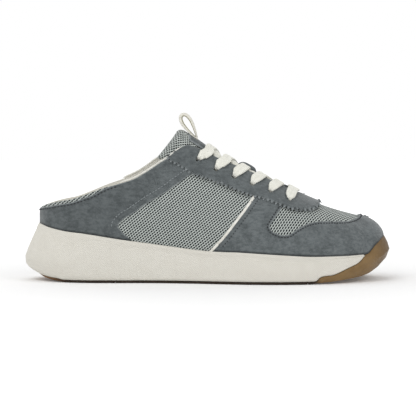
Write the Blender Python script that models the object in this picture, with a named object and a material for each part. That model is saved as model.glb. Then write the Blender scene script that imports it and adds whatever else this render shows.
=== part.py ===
"""Right shoe: a backless lace-up mule sneaker.

It stands on its sole with +X to the toe, +Y to the inner (medial) side and +Z up. The origin is
under the middle of the sole. Every length is in metres.

The sole is worked out from its plan outline and from side profiles, and the upper from the last:
at each station round the foot, a section rises from the sole's rim and curves over to the crown.
"""

import math

import bmesh
import bpy
from mathutils import Vector

# Sole
SOLE_LENGTH = 0.300
BALL_WIDTH = 0.107
HEEL_WIDTH = 0.078
TOE_SWING = 0.014
HEEL_FLARE = 0.012
HEEL_RIM_HEIGHT = 0.0464
WIDEST_HEIGHT = 0.018
EDGE_TUCK = 0.014
OUTSOLE_THICKNESS = 0.0028
BUMPER_WALL = 0.0022
STRIP_SET_BACK = 0.0008
FLARE_CURVE = 1.15
GROOVE_WIDTH = 0.0014
GROOVE_DEPTH = 0.0016
GROOVES = (0.253, 0.763)
STRIP_END = 0.78
BUMPER_START = 0.927
FLOOR_HEIGHT = 0.029
RIM_LIP = 0.0012
INSOLE_THICKNESS = 0.0042
INSOLE_CUP = 0.0030
INSOLE_BEVEL = 0.0022

# Upper
INSTEP_HEIGHT = 0.110
WALL = 0.0022
SUEDE = 0.0010
LIP_HEIGHT = 0.0026
THROAT_GAP = 0.0155
THROAT_CORNER = 0.06
PIPING = 0.0014
PIPING_START = 0.262
PIPING_END = 0.440
STRIPE_WIDTH = 0.0020

# Tongue and laces
TONGUE_PAD = 0.0062
TONGUE_EDGE = 0.0022
TONGUE_START = 0.80
TONGUE_TOP = 0.425
TONGUE_DROOP = 0.052
TONGUE_SPREAD_LOW = 0.27
TONGUE_SPREAD_TOP = 0.52
TONGUE_SLACK = 0.0012
TAB_TOP = 0.434
TAB_LENGTH = 0.013
TAB_WIDTH = 0.022
TAB_THICKNESS = 0.0012
LOOP_WIDTH = 0.009
LOOP_THICKNESS = 0.0017
LOOP_LENGTH = 0.0235
LOOP_OPENING = 0.0055
LOOP_LEAN = 27.0
LOOP_SEAM = 0.0037
LOOP_FOOT = 0.470
LACE_WIDTH = 0.0078
LACE_THICKNESS = 0.0015
LACE_CLEARANCE = 0.0026
LACE_LIFT = 0.0009
EYELET_COUNT = 6
EYELET_HOLE = 0.0042
FIRST_EYELET = 0.470
LAST_EYELET = 0.712
EYELET_SPREAD = 0.0262
KEEPER_LENGTH = 0.0165
KEEPER_WIDTH = 0.009
KEEPER_THICKNESS = 0.0010

# Clearance between pieces that meet, and how deep the tongue's face lies inside the upper's
FIT = 0.0003
TONGUE_DEPTH = WALL + TONGUE_SLACK

# Plan outline and crown, one row for each station from the heel's back to the toe's tip.
# along: share of the sole's length. lateral, medial: shares of the sole's width there. flare: share
# of the heel's flare. crown_along, crown_swing and crown_height: the section's top, as shares of the
# sole's length, of the toe's swing and of the instep's height. upright, flat: how far the section
# runs up from the rim and in along the crown before it turns, as shares of its height and width.
STATION_COLUMNS = (
    "along", "lateral", "medial", "flare", "crown_along", "crown_swing", "crown_height",
    "upright", "flat",
)
STATIONS = (
    (0.000, 0.000, 0.000, 1.00, 0.180, 0.00, 1.36, 0.50, 0.50),
    (0.006, 0.122, 0.122, 0.97, 0.180, 0.00, 1.36, 0.50, 0.50),
    (0.020, 0.218, 0.218, 0.88, 0.184, 0.00, 1.36, 0.50, 0.50),
    (0.050, 0.333, 0.333, 0.72, 0.192, 0.00, 1.36, 0.50, 0.50),
    (0.120, 0.461, 0.461, 0.54, 0.215, 0.00, 1.36, 0.50, 0.50),
    (0.200, 0.500, 0.500, 0.46, 0.252, 0.00, 1.35, 0.50, 0.50),
    (0.320, 0.489, 0.480, 0.42, 0.335, 0.00, 1.28, 0.50, 0.48),
    (0.430, 0.462, 0.428, 0.42, 0.430, 0.00, 1.135, 0.48, 0.46),
    (0.520, 0.462, 0.403, 0.42, 0.520, 0.04, 0.965, 0.46, 0.46),
    (0.600, 0.487, 0.427, 0.43, 0.600, 0.08, 0.843, 0.46, 0.47),
    (0.680, 0.503, 0.474, 0.44, 0.677, 0.18, 0.734, 0.48, 0.50),
    (0.760, 0.480, 0.507, 0.44, 0.750, 0.32, 0.623, 0.52, 0.53),
    (0.830, 0.427, 0.500, 0.44, 0.810, 0.50, 0.553, 0.54, 0.54),
    (0.885, 0.357, 0.470, 0.44, 0.853, 0.64, 0.513, 0.54, 0.52),
    (0.935, 0.260, 0.410, 0.43, 0.890, 0.78, 0.485, 0.52, 0.48),
    (0.970, 0.155, 0.343, 0.42, 0.914, 0.86, 0.467, 0.48, 0.44),
    (0.992, 0.022, 0.245, 0.40, 0.929, 0.90, 0.452, 0.42, 0.40),
    (1.000, -0.131, 0.131, 0.38, 0.936, 0.92, 0.442, 0.40, 0.38),
)

# Side profiles of the sole as (along, share): the ground side, the line where foam and rubber part,
# the sole's top edge, the height where it is widest and the floor inside.
GROUND = (
    (0.000, 0.62), (0.015, 0.52), (0.047, 0.21), (0.071, 0.108), (0.095, 0.043), (0.117, 0.0),
    (0.750, 0.0), (0.793, 0.055), (0.837, 0.11), (0.883, 0.195), (0.920, 0.28), (0.960, 0.50),
    (0.990, 0.96), (1.000, 1.40),
)
PARTING = (
    (0.000, 0.275), (0.015, 0.222), (0.047, 0.122), (0.071, 0.090), (0.095, 0.073), (0.117, 0.067),
    (0.784, 0.071), (0.795, 0.118), (0.833, 0.160), (0.871, 0.259), (0.907, 0.369), (0.927, 0.490),
    (0.954, 0.640), (0.979, 0.761), (1.000, 0.790),
)
RIM = (
    (0.000, 1.000), (0.040, 1.000), (0.071, 0.948), (0.095, 0.914), (0.117, 0.888), (0.161, 0.856),
    (0.267, 0.750), (0.373, 0.655), (0.500, 0.560), (0.583, 0.545), (0.690, 0.504), (0.793, 0.470),
    (0.859, 0.470), (0.903, 0.476), (0.927, 0.483), (0.954, 0.634), (0.979, 0.755), (1.000, 0.776),
)
WIDEST = (
    (0.000, 1.00), (0.060, 0.95), (0.150, 0.60), (0.400, 0.45), (0.750, 0.42), (0.900, 0.75),
    (0.970, 1.25), (1.000, 1.45),
)
TUCK = (
    (0.000, 1.00), (0.020, 0.80), (0.050, 0.60), (0.120, 0.38), (0.200, 0.23), (0.300, 0.16),
    (0.760, 0.16),
    (0.860, 0.25), (0.930, 0.50), (0.980, 0.80), (1.000, 0.86),
)
FLOOR = (
    (0.000, 1.02), (0.200, 0.97), (0.350, 0.83), (0.500, 0.64), (0.620, 0.53), (0.760, 0.49),
    (0.880, 0.54), (1.000, 0.70),
)

# Collar's height as (along, lateral, medial), in shares of the instep's height.
COLLAR = (
    (0.040, 0.535, 0.535), (0.060, 0.560, 0.560), (0.093, 0.585, 0.586), (0.137, 0.607, 0.610),
    (0.181, 0.648, 0.655), (0.223, 0.690, 0.702), (0.262, 0.718, 0.738), (0.308, 0.761, 0.795),
    (0.329, 0.794, 0.832), (0.350, 0.830, 0.874), (0.372, 0.871, 0.914), (0.393, 0.905, 0.946),
    (0.414, 0.952, 0.985), (0.436, 1.000, 1.020), (0.470, 1.080, 1.090), (0.520, 1.200, 1.200),
)
# Where the mesh lip shows over the suede, as (along, share of the lip's height).
COLLAR_LIP = (
    (0.040, 0.10), (0.060, 0.70), (0.090, 1.00), (0.190, 0.90), (0.235, 0.15), (0.250, 0.0),
    (1.000, 0.0),
)
# Half of the throat's gap, and a lace hole's distance from the crown, as (along, share).
THROAT = (
    (0.300, 1.60), (0.400, 1.20), (0.450, 0.99), (0.500, 0.95), (0.600, 0.90), (0.660, 0.83),
    (0.706, 0.71), (0.732, 0.54), (0.748, 0.31), (0.756, 0.0),
)
THROAT_END = THROAT[-1][0]
EYELET_LINE = ((0.473, 0.78), (0.520, 0.84), (0.570, 0.90), (0.616, 0.94), (0.719, 1.03))

# Panel edges in the side view as (along, share of the instep's height).
EYESTAY_EDGE = (
    (0.383, 0.935), (0.390, 0.890), (0.402, 0.868), (0.418, 0.845), (0.435, 0.820), (0.451, 0.787),
    (0.483, 0.757), (0.514, 0.726), (0.559, 0.677), (0.600, 0.632), (0.648, 0.593), (0.695, 0.545),
    (0.719, 0.521), (0.743, 0.511), (0.768, 0.511), (0.788, 0.519), (0.800, 0.537), (0.805, 0.560),
    (0.805, 0.700),
)
QUARTER_EDGE = (
    (0.475, 0.826), (0.451, 0.781), (0.422, 0.726), (0.382, 0.648), (0.341, 0.582), (0.300, 0.505),
    (0.268, 0.446), (0.260, 0.412), (0.269, 0.376), (0.295, 0.312), (0.330, 0.230),
)
STRIPE_EDGE = (
    (0.630, 0.655), (0.619, 0.610), (0.598, 0.530), (0.576, 0.452), (0.541, 0.330), (0.511, 0.241),
    (0.490, 0.180),
)
WINDOW_EDGE = (
    (0.705, 0.580), (0.695, 0.539), (0.683, 0.490), (0.670, 0.439), (0.664, 0.410), (0.669, 0.385),
    (0.684, 0.364), (0.703, 0.354), (0.717, 0.363), (0.727, 0.381), (0.742, 0.406), (0.758, 0.426),
    (0.779, 0.440), (0.800, 0.446), (0.832, 0.443), (0.867, 0.440), (0.886, 0.445), (0.902, 0.456),
    (0.912, 0.470), (0.916, 0.490), (0.916, 0.620),
)

STEPS_TO_THROAT_END = 18
STEPS_ROUND_THROAT_END = 4
STEPS_TO_TOE = 12
SECTION_ROWS = 6

LATERAL = -1
MEDIAL = 1


class Curve:
    """A smooth curve through (place, value) rows that doesn't swing past them."""

    def __init__(self, rows, scale=1.0):
        self.places = [row[0] for row in rows]
        self.values = [row[1] * scale for row in rows]
        spans = list(zip(self.places, self.places[1:], self.values, self.values[1:]))
        rises = [(value_b - value_a) / (b - a) for a, b, value_a, value_b in spans]
        self.slopes = [rises[0]]
        for i in range(1, len(rises)):
            before, after = rises[i - 1], rises[i]
            if before * after <= 0:
                self.slopes.append(0.0)
                continue
            span_before = self.places[i] - self.places[i - 1]
            span_after = self.places[i + 1] - self.places[i]
            mean = (span_after * before + span_before * after) / (span_before + span_after)
            steepest = 3 * min(abs(before), abs(after))
            self.slopes.append(math.copysign(min(abs(mean), steepest), mean))
        self.slopes.append(rises[-1])

    def at(self, place):
        place = min(max(place, self.places[0]), self.places[-1])
        i = 0
        while i < len(self.places) - 2 and place > self.places[i + 1]:
            i += 1
        span = self.places[i + 1] - self.places[i]
        u = (place - self.places[i]) / span
        start, end = self.values[i], self.values[i + 1]
        leave, arrive = self.slopes[i] * span, self.slopes[i + 1] * span
        return (
            start * (1 + 2 * u) * (1 - u) ** 2
            + leave * u * (1 - u) ** 2
            + end * u * u * (3 - 2 * u)
            + arrive * u * u * (u - 1)
        )


def column(name):
    return [row[STATION_COLUMNS.index(name)] for row in STATIONS]


def width_there(along):
    """The sole's width follows the heel's at the back and the ball's in front."""
    blend = min(max((along - 0.30) / 0.30, 0.0), 1.0)
    blend = blend * blend * (3 - 2 * blend)
    return HEEL_WIDTH + (BALL_WIDTH - HEEL_WIDTH) * blend


def station_places():
    """Each row's place from 0 at the heel to 1 at the toe, by its distance round the outline."""
    points = [
        (along * SOLE_LENGTH, (lateral + medial) / 2 * width_there(along), lateral * width_there(along))
        for along, lateral, medial in zip(column("along"), column("lateral"), column("medial"))
    ]
    places = [0.0]
    for a, b in zip(points, points[1:]):
        places.append(places[-1] + math.dist(a, b))
    return [place / places[-1] for place in places]


def round_both_ends(near, far):
    """One side's rows, run on a little round the heel and the toe with the other side's."""
    places = station_places()
    rows = [(-places[i], far[i]) for i in (2, 1)]
    rows += list(zip(places, near))
    rows += [(2 - places[i], far[i]) for i in (-2, -3)]
    return rows


def symmetric(name, scale):
    values = column(name)
    return Curve(round_both_ends(values, values), scale)


def across_curve(side):
    widths = [width_there(along) for along in column("along")]
    lateral = [-share * width for share, width in zip(column("lateral"), widths)]
    medial = [share * width for share, width in zip(column("medial"), widths)]
    near, far = (lateral, medial) if side == LATERAL else (medial, lateral)
    return Curve(round_both_ends(near, far))


OUTLINE_ALONG = symmetric("along", 1.0)
OUTLINE_ACROSS = {side: across_curve(side) for side in (LATERAL, MEDIAL)}
FLARE = symmetric("flare", HEEL_FLARE)
CROWN_ALONG = symmetric("crown_along", 1.0)
CROWN_ACROSS = symmetric("crown_swing", TOE_SWING)
CROWN_HEIGHT = symmetric("crown_height", INSTEP_HEIGHT)
UPRIGHT = symmetric("upright", 1.0)
FLAT = symmetric("flat", 1.0)

GROUND_LINE = Curve(GROUND, WIDEST_HEIGHT)
PARTING_LINE = Curve(PARTING, HEEL_RIM_HEIGHT)
RIM_LINE = Curve(RIM, HEEL_RIM_HEIGHT)
WIDEST_LINE = Curve(WIDEST, WIDEST_HEIGHT)
TUCK_LINE = Curve(TUCK, EDGE_TUCK)
FLOOR_LINE = Curve(FLOOR, FLOOR_HEIGHT)
COLLAR_LINE = {
    LATERAL: Curve([(row[0], row[1]) for row in COLLAR], INSTEP_HEIGHT),
    MEDIAL: Curve([(row[0], row[2]) for row in COLLAR], INSTEP_HEIGHT),
}
LIP_LINE = Curve(COLLAR_LIP, LIP_HEIGHT)
THROAT_LINE = Curve(THROAT, THROAT_GAP)
EYELET_ROW = Curve(EYELET_LINE, EYELET_SPREAD)


def x_of(along):
    return (along - 0.5) * SOLE_LENGTH


def along_of(x):
    return x / SOLE_LENGTH + 0.5


def outline_point(side, station, inset=0.0):
    """A point of the sole's plan outline, moved in from it along its normal."""
    step = 0.002
    ends = []
    for place in (station - step, station, station + step):
        x = x_of(OUTLINE_ALONG.at(place))
        ends.append(Vector((x, OUTLINE_ACROSS[side].at(place), 0.0)))
    way = (ends[2] - ends[0]).normalized()
    outward = Vector((way.y, -way.x, 0.0)) * (1 if side == LATERAL else -1)
    return ends[1] - outward * inset


def station_at_crown(along):
    """The station whose section meets the crown at this share of the sole's length."""
    low, high = 0.0, 1.0
    for _ in range(30):
        middle = (low + high) / 2
        if CROWN_ALONG.at(middle) < along:
            low = middle
        else:
            high = middle
    return low


def spread_stations():
    """Stations from heel to toe, closer together round the heel, the throat's end and the toe."""
    near_end = station_at_crown(THROAT_END - 0.040)
    end = station_at_crown(THROAT_END)
    places = [near_end * (i / STEPS_TO_THROAT_END) ** 1.2 for i in range(STEPS_TO_THROAT_END)]
    for i in range(STEPS_ROUND_THROAT_END):
        share = i / STEPS_ROUND_THROAT_END
        places.append(near_end + (end - near_end) * math.sin(share * math.pi / 2))
    for i in range(STEPS_TO_TOE):
        places.append(1.0 - (1.0 - end) * (1 - i / STEPS_TO_TOE) ** 1.15)
    return places + [1.0]


PLACES = spread_stations()


def ease(start, end, value):
    share = min(max((value - start) / (end - start), 0.0), 1.0)
    return share * share * (3 - 2 * share)


def make_material(name, color, roughness):
    material = bpy.data.materials.new(name)
    material.use_nodes = True
    shader = material.node_tree.nodes["Principled BSDF"]
    shader.inputs["Base Color"].default_value = (*color, 1.0)
    shader.inputs["Roughness"].default_value = roughness
    return material


def make_object(name, points, faces, material, angle=40):
    """A closed mesh from points and faces: doubles merged, faces turned out, shaded smooth."""
    mesh = bpy.data.meshes.new(name)
    mesh.from_pydata(points, [], faces)
    body = bmesh.new()
    body.from_mesh(mesh)
    bmesh.ops.remove_doubles(body, verts=body.verts, dist=2e-6)
    bmesh.ops.dissolve_degenerate(body, edges=body.edges, dist=2e-6)
    bmesh.ops.recalc_face_normals(body, faces=body.faces)
    body.to_mesh(mesh)
    body.free()
    mesh.shade_smooth()
    mesh.set_sharp_from_angle(angle=math.radians(angle))
    if material:
        mesh.materials.append(material)
    made = bpy.data.objects.new(name, mesh)
    bpy.context.scene.collection.objects.link(made)
    return made


def make_cutter(name, points, faces):
    cutter = make_object(name, points, faces, None)
    cutter.hide_render = True
    cutter.display_type = "WIRE"
    return cutter


def cut(target, cutter, operation="DIFFERENCE"):
    modifier = target.modifiers.new(cutter.name, "BOOLEAN")
    modifier.operation = operation
    modifier.solver = "EXACT"
    modifier.object = cutter


def loop_places():
    """Once round the foot: the outer side from heel to toe, then the inner side back."""
    out = [(LATERAL, place) for place in PLACES]
    back = [(MEDIAL, place) for place in reversed(PLACES[1:-1])]
    return out + back


def ring_solid(rings):
    """Points and faces of rings that follow each other, closed across the foot at both ends."""
    count = len(rings[0])
    half = len(PLACES) - 1
    points = [point for ring in rings for point in ring]
    faces = []
    for k in range(len(rings) - 1):
        for i in range(count):
            j = (i + 1) % count
            faces.append((k * count + i, k * count + j, (k + 1) * count + j))
            faces.append((k * count + i, (k + 1) * count + j, (k + 1) * count + i))
    for first in (0, (len(rings) - 1) * count):
        faces.append((first, first + 1, first + count - 1))
        for i in range(1, half - 1):
            faces.append((first + i, first + i + 1, first + count - i - 1, first + count - i))
        faces.append((first + half - 1, first + half, first + half + 1))
    return points, faces


def bottom_point(side, station):
    """The lower edge of the sole's skin, where the walking face begins."""
    tuck = TUCK_LINE.at(OUTLINE_ALONG.at(station))
    point = outline_point(side, station, tuck)
    point.z = GROUND_LINE.at(along_of(point.x))
    return point


def rim_height(side, station):
    """The sole's top edge, whose line is set in the side view."""
    return RIM_LINE.at(along_of(outline_point(side, station, FLARE.at(station)).x))


def skin_inset(side, station, height):
    """How far the sole's skin lies inside its widest outline at this height."""
    along = OUTLINE_ALONG.at(station)
    widest = WIDEST_LINE.at(along)
    if height > widest:
        rim = rim_height(side, station)
        return FLARE.at(station) * ((height - widest) / (rim - widest)) ** FLARE_CURVE
    ground = bottom_point(side, station).z
    drop = min((widest - height) / (widest - ground), 1.0)
    return TUCK_LINE.at(along) * drop * drop


def skin_point(side, station, height, inset=0.0):
    point = outline_point(side, station, skin_inset(side, station, height) + inset)
    point.z = height
    return point


def parting_height(side, station):
    """Where foam and rubber part on the sole's skin: the line is set in the side view."""
    height = PARTING_LINE.at(OUTLINE_ALONG.at(station))
    rim = rim_height(side, station)
    for _ in range(6):
        height = PARTING_LINE.at(along_of(skin_point(side, station, min(height, rim)).x))
    return min(height, rim)


def outsole_rings(grow, reach):
    """The rubber's rings, from the ground up its skin, over its lip and down inside.

    grow widens it towards the foam, and reach carries it past its own skin, for the foam's cutter.
    """
    rings = [[] for _ in range(8)]
    for side, station in loop_places():
        along = OUTLINE_ALONG.at(station)
        low = bottom_point(side, station)
        lip = parting_height(side, station) - FIT
        floor = min(low.z + OUTSOLE_THICKNESS, lip)
        set_back = 0.0 if reach else STRIP_SET_BACK * (1 - ease(STRIP_END - 0.02, STRIP_END + 0.02, along))
        tuck = TUCK_LINE.at(along)
        low = outline_point(side, station, tuck + set_back - reach)
        low.z = GROUND_LINE.at(along_of(outline_point(side, station, tuck).x)) - reach
        rings[0].append(low)
        ground = bottom_point(side, station).z
        for k, share in ((1, 0.35), (2, 0.70), (3, 1.0)):
            height = ground + (lip - ground) * share
            point = skin_point(side, station, height, set_back - reach)
            point.z += grow * (share == 1.0)
            rings[k].append(point)
        for k, share, step in ((4, 1.0, 0.0), (5, 0.5, 0.0003), (6, 0.2, 0.0006), (7, 0.0, 0.0009)):
            height = floor + (lip - floor) * share
            inset = skin_inset(side, station, height) + BUMPER_WALL
            if height > WIDEST_LINE.at(along):
                inset = min(inset, recess_inset(station))
            point = outline_point(side, station, inset + grow + step)
            point.z = height + grow
            rings[k].append(point)
    return rings


def recess_inset(station):
    """How far the midsole's inner wall lies inside the widest outline."""
    return FLARE.at(station) + RIM_LIP


BOX_FACES = [(3, 2, 1, 0), (4, 5, 6, 7), (0, 1, 5, 4), (1, 2, 6, 5), (2, 3, 7, 6), (3, 0, 4, 7)]


def make_outsole(material):
    outsole = make_object("outsole", *ring_solid(outsole_rings(0.0, 0.0)), material)
    for number, along in enumerate(GROOVES):
        corners = [
            (x_of(along) + turn_x * GROOVE_WIDTH / 2, turn_y * BALL_WIDTH, z)
            for z in (-GROOVE_DEPTH, GROOVE_DEPTH)
            for turn_x, turn_y in ((-1, -1), (1, -1), (1, 1), (-1, 1))
        ]
        cut(outsole, make_cutter(f"groove_{number + 1}", corners, BOX_FACES))
    return outsole


def make_midsole(material):
    """The foam cup: one body up to the rim, with the rubber's place cut from it."""
    shares = (0.0, 0.10, 0.24, 0.42, 0.62, 0.82, 0.965)
    top = RIM_LINE.at(BUMPER_START)
    rings = [[] for _ in range(len(shares) + 3)]
    for side, station in loop_places():
        low = bottom_point(side, station)
        foot = outline_point(side, station, recess_inset(station))
        rim = rim_height(side, station)
        if OUTLINE_ALONG.at(station) > BUMPER_START - 0.02:
            rim = min(rim, top)
        for k, share in enumerate(shares):
            height = low.z + FIT + (rim - low.z - FIT) * share
            rings[k].append(skin_point(side, station, height))
        for k, inset in ((len(shares), 0.0005), (len(shares) + 1, None), (len(shares) + 2, None)):
            point = foot.copy()
            if inset is not None:
                point = skin_point(side, station, rim, inset)
            point.z = rim
            if k == len(shares) + 2:
                point.z = FLOOR_LINE.at(along_of(foot.x))
            rings[k].append(point)
    midsole = make_object("midsole", *ring_solid(rings), material)
    cut(midsole, make_cutter("outsole_place", *ring_solid(outsole_rings(FIT, 0.0012))))
    return midsole


def make_insole(material):
    """The footbed: flat in front, cupped round the heel."""
    rings = [[] for _ in range(4)]
    for side, station in loop_places():
        edge = recess_inset(station) + FIT + WALL + FIT
        cup = INSOLE_CUP * (1 - ease(0.30, 0.62, OUTLINE_ALONG.at(station)))
        levels = (
            (edge + FIT, 0.0),
            (edge, INSOLE_THICKNESS + cup - INSOLE_BEVEL / 2),
            (edge + INSOLE_BEVEL, INSOLE_THICKNESS + cup),
            (edge + INSOLE_BEVEL + 3 * INSOLE_CUP, INSOLE_THICKNESS),
        )
        for k, (inset, lift) in enumerate(levels):
            point = outline_point(side, station, inset)
            point.z = FLOOR_LINE.at(along_of(point.x)) + FIT + lift
            rings[k].append(point)
    return make_object("insole", *ring_solid(rings), material)


def last_point(side, station, rise):
    """A point of the upper's outer face.

    rise goes from -1 at the midsole's floor to 0 at the rim and 1 at the crown. Past the heel, the
    toe or the crown it runs on along the other side.
    """
    if station < 0:
        side, station = -side, -station
    if station > 1:
        side, station = -side, 2 - station
    if rise > 1:
        side, rise = -side, 2 - rise
    foot = outline_point(side, station, recess_inset(station) + FIT)
    foot.z = rim_height(side, station)
    if rise < 0:
        floor = FLOOR_LINE.at(along_of(foot.x)) + FIT
        foot.z += (foot.z - floor) * rise
        return foot
    crown = crown_point(station)
    inward = Vector((crown.x - foot.x, crown.y - foot.y, 0.0))
    shoulder = foot + Vector((0.0, 0.0, (crown.z - foot.z) * UPRIGHT.at(station)))
    brow = crown - inward * FLAT.at(station)
    back = 1 - rise
    return (
        foot * back ** 3
        + shoulder * (3 * back * back * rise)
        + brow * (3 * back * rise * rise)
        + crown * rise ** 3
    )


def crown_point(station):
    x = x_of(CROWN_ALONG.at(station))
    return Vector((x, CROWN_ACROSS.at(station), CROWN_HEIGHT.at(station)))


def last_normal(side, station, rise):
    """The outward normal of the upper's outer face."""
    step, lift = 0.003, 0.01
    forward = last_point(side, station + step, rise) - last_point(side, station - step, rise)
    upward = last_point(side, station, rise + lift) - last_point(side, station, rise - lift)
    return (forward.cross(upward) * -side).normalized()


def lasted(side, station, rise, lift):
    return last_point(side, station, rise) + last_normal(side, station, rise) * lift


def rise_where(reached):
    """The lowest rise at which reached(rise) is true, or 1 at the crown."""
    low, high = 0.0, 1.0
    if not reached(high):
        return 1.0
    for _ in range(28):
        middle = (low + high) / 2
        if reached(middle):
            high = middle
        else:
            low = middle
    return high


def collar_rise(side, station, below=None):
    """The rise of the collar's edge, or 2 where the collar lies above the crown."""
    line = COLLAR_LINE[side]
    if line.at(CROWN_ALONG.at(station)) > CROWN_HEIGHT.at(station) and station > 0.3:
        return 2.0

    def reached(rise):
        point = last_point(side, station, rise)
        along = along_of(point.x)
        return point.z >= line.at(along) - (below.at(along) if below else 0.0)

    return rise_where(reached)


def across_rise(side, station, distance):
    """The rise at which the section is this far from the crown, across the foot."""
    crown = crown_point(station)
    return rise_where(lambda rise: abs(last_point(side, station, rise).y - crown.y) <= distance)


def throat_rise(side, station):
    along = CROWN_ALONG.at(station)
    if along < 0.36:
        return 2.0
    if along > THROAT_END - 1e-4:
        return 1.0
    return across_rise(side, station, THROAT_LINE.at(along))


def top_rise(side, station, below=None):
    """The upper's top edge: the collar, the throat, and a round corner between them."""
    collar, throat = collar_rise(side, station, below), throat_rise(side, station)
    if throat >= 1.0:
        return min(collar, throat)
    overlap = max(THROAT_CORNER - abs(collar - throat), 0.0) / THROAT_CORNER
    return min(collar, throat) - overlap * overlap * THROAT_CORNER / 4


def rim_rise(side, station, lift):
    """The rise that lies lift above the midsole's rim."""
    rim = last_point(side, station, 0.0).z
    return rise_where(lambda rise: last_point(side, station, rise).z >= rim + lift)


def shell(inner, outer, low, top):
    """Points and faces of a wall between two offsets of the last, from low to top.

    A wall that starts below the rim has one row of faces down there.
    """
    points, faces, index, closed = [], [], {}, {}
    last = len(PLACES) - 1
    for side in (LATERAL, MEDIAL):
        for i, station in enumerate(PLACES):
            bottom, edge = low(side, station), top(side, station)
            closed[side, i] = edge >= 1.0 - 1e-6
            start = max(bottom, 0.0)
            rises = [start + (edge - start) * j / SECTION_ROWS for j in range(SECTION_ROWS + 1)]
            if bottom < 0:
                rises.insert(0, bottom)
            rows = len(rises) - 1
            for j, rise in enumerate(rises):
                for face, lift in (("in", inner), ("out", outer)):
                    index[side, i, j, face] = len(points)
                    points.append(lasted(side, station, rise, lift))
    for side in (LATERAL, MEDIAL):
        for i in range(last):
            for j in range(rows):
                for face in ("in", "out"):
                    for corners in (((0, 0), (1, 0), (1, 1)), ((0, 0), (1, 1), (0, 1))):
                        faces.append([index[side, i + a, j + b, face] for a, b in corners])
            edges = [0] if closed[side, i] and closed[side, i + 1] else [0, rows]
            for j in edges:
                corners = [(i, "in"), (i + 1, "in"), (i + 1, "out"), (i, "out")]
                faces.append([index[side, a, j, face] for a, face in corners])
    return points, faces


def side_prism(name, outline, sides=(LATERAL, MEDIAL)):
    """A cutter: a side-view outline of (along, share of the instep's height), run across the foot."""
    across = [side * BALL_WIDTH if side in sides else 0.0 for side in (LATERAL, MEDIAL)]
    points, count = [], len(outline)
    for y in across:
        points += [(x_of(along), y, share * INSTEP_HEIGHT) for along, share in outline]
    faces = [list(range(count)), list(range(2 * count - 1, count - 1, -1))]
    for i in range(count):
        j = (i + 1) % count
        faces.append((j, i, count + i, count + j))
    return make_cutter(name, points, faces)


def shifted(line, distance):
    """A side-view line moved to its left by a length."""
    moved = []
    for i, (along, share) in enumerate(line):
        before, after = line[max(i - 1, 0)], line[min(i + 1, len(line) - 1)]
        dx = (after[0] - before[0]) * SOLE_LENGTH
        dz = (after[1] - before[1]) * INSTEP_HEIGHT
        size = math.hypot(dx, dz)
        moved_along = along - dz / size * distance / SOLE_LENGTH
        moved.append((moved_along, share + dx / size * distance / INSTEP_HEIGHT))
    return moved


def overlay(name, outline, material, sides=(LATERAL, MEDIAL)):
    """A panel: the band just outside the shell, kept inside a side-view outline."""
    panel = make_object(name, *shell(FIT, FIT + SUEDE, overlay_low, overlay_top), material)
    cut(panel, side_prism(name + "_outline", outline, sides), "INTERSECT")
    return panel


def overlay_low(side, station):
    return rim_rise(side, station, FIT)


def overlay_top(side, station):
    return top_rise(side, station, LIP_LINE)


def shell_low(side, station):
    return -1.0


def eyelet_places():
    """Side, along and distance from the crown of each lace hole, from the top pair down."""
    for number in range(EYELET_COUNT):
        for side in (LATERAL, MEDIAL):
            yield side, eyelet_along(number), EYELET_ROW.at(eyelet_along(number))


def eyelet_along(number):
    return FIRST_EYELET + (LAST_EYELET - FIRST_EYELET) * number / (EYELET_COUNT - 1)


def crown_place(along, across):
    """Side, station and rise of the place that is this far across the foot from the crown."""
    station = station_at_crown(along)
    side = MEDIAL if across > 0 else LATERAL
    return side, station, across_rise(side, station, abs(across))


def make_eyelet_cutter():
    """Round punches in one cutter, each along the upper's normal."""
    points, faces = [], []
    sides = 8
    for side, along, distance in eyelet_places():
        place = crown_place(along, side * distance)
        centre, normal = last_point(*place), last_normal(*place)
        across = normal.cross(Vector((1, 0, 0))).normalized()
        forward = across.cross(normal)
        first = len(points)
        for depth in (-WALL - 0.001, FIT + SUEDE + 0.001):
            for i in range(sides):
                angle = 2 * math.pi * i / sides
                turn = across * math.cos(angle) + forward * math.sin(angle)
                points.append(centre + normal * depth + turn * (EYELET_HOLE / 2))
        faces.append(list(range(first, first + sides)))
        faces.append(list(range(first + sides, first + 2 * sides)))
        for i in range(sides):
            j = (i + 1) % sides
            faces.append((first + i, first + j, first + sides + j, first + sides + i))
    return make_cutter("eyelet_punches", points, faces)


# How far the panels' side-view outlines run past the shoe: along in front and behind, and up.
BEHIND, AHEAD, BELOW, ABOVE = -0.1, 1.1, -0.1, 1.6


def beneath(line, cover):
    """The stretch of a side-view line from where it comes out below a covering panel's edge."""
    depths = [share - Curve(cover).at(along) for along, share in line]
    i = next(i for i, depth in enumerate(depths) if depth < 0)
    blend = depths[i - 1] / (depths[i - 1] - depths[i])
    meeting = tuple(a + (b - a) * blend for a, b in zip(line[i - 1], line[i]))
    return [meeting, *line[i:]]


def between(line, start, end):
    return [row for row in line if start < row[0] < end]


def eyestay_underline():
    """The lower edge of the eyestay, and a fit below it: where the other panels end."""
    return shifted(EYESTAY_EDGE[:-1], -FIT)


def make_eyestay(suede):
    first, last = EYESTAY_EDGE[0][0], EYESTAY_EDGE[-1][0]
    return overlay("eyestay", [*EYESTAY_EDGE, (last, ABOVE), (first, ABOVE)], suede)


def make_heel_counter(suede):
    under = eyestay_underline()
    front = beneath(QUARTER_EDGE, under)
    outline = [(BEHIND, ABOVE), (BEHIND, BELOW), (front[-1][0], BELOW)]
    outline += reversed(front)
    outline += reversed(between(under, BEHIND, front[0][0]))
    outline.append((under[0][0], ABOVE))
    overlay("heel_counter", outline, suede)


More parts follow.
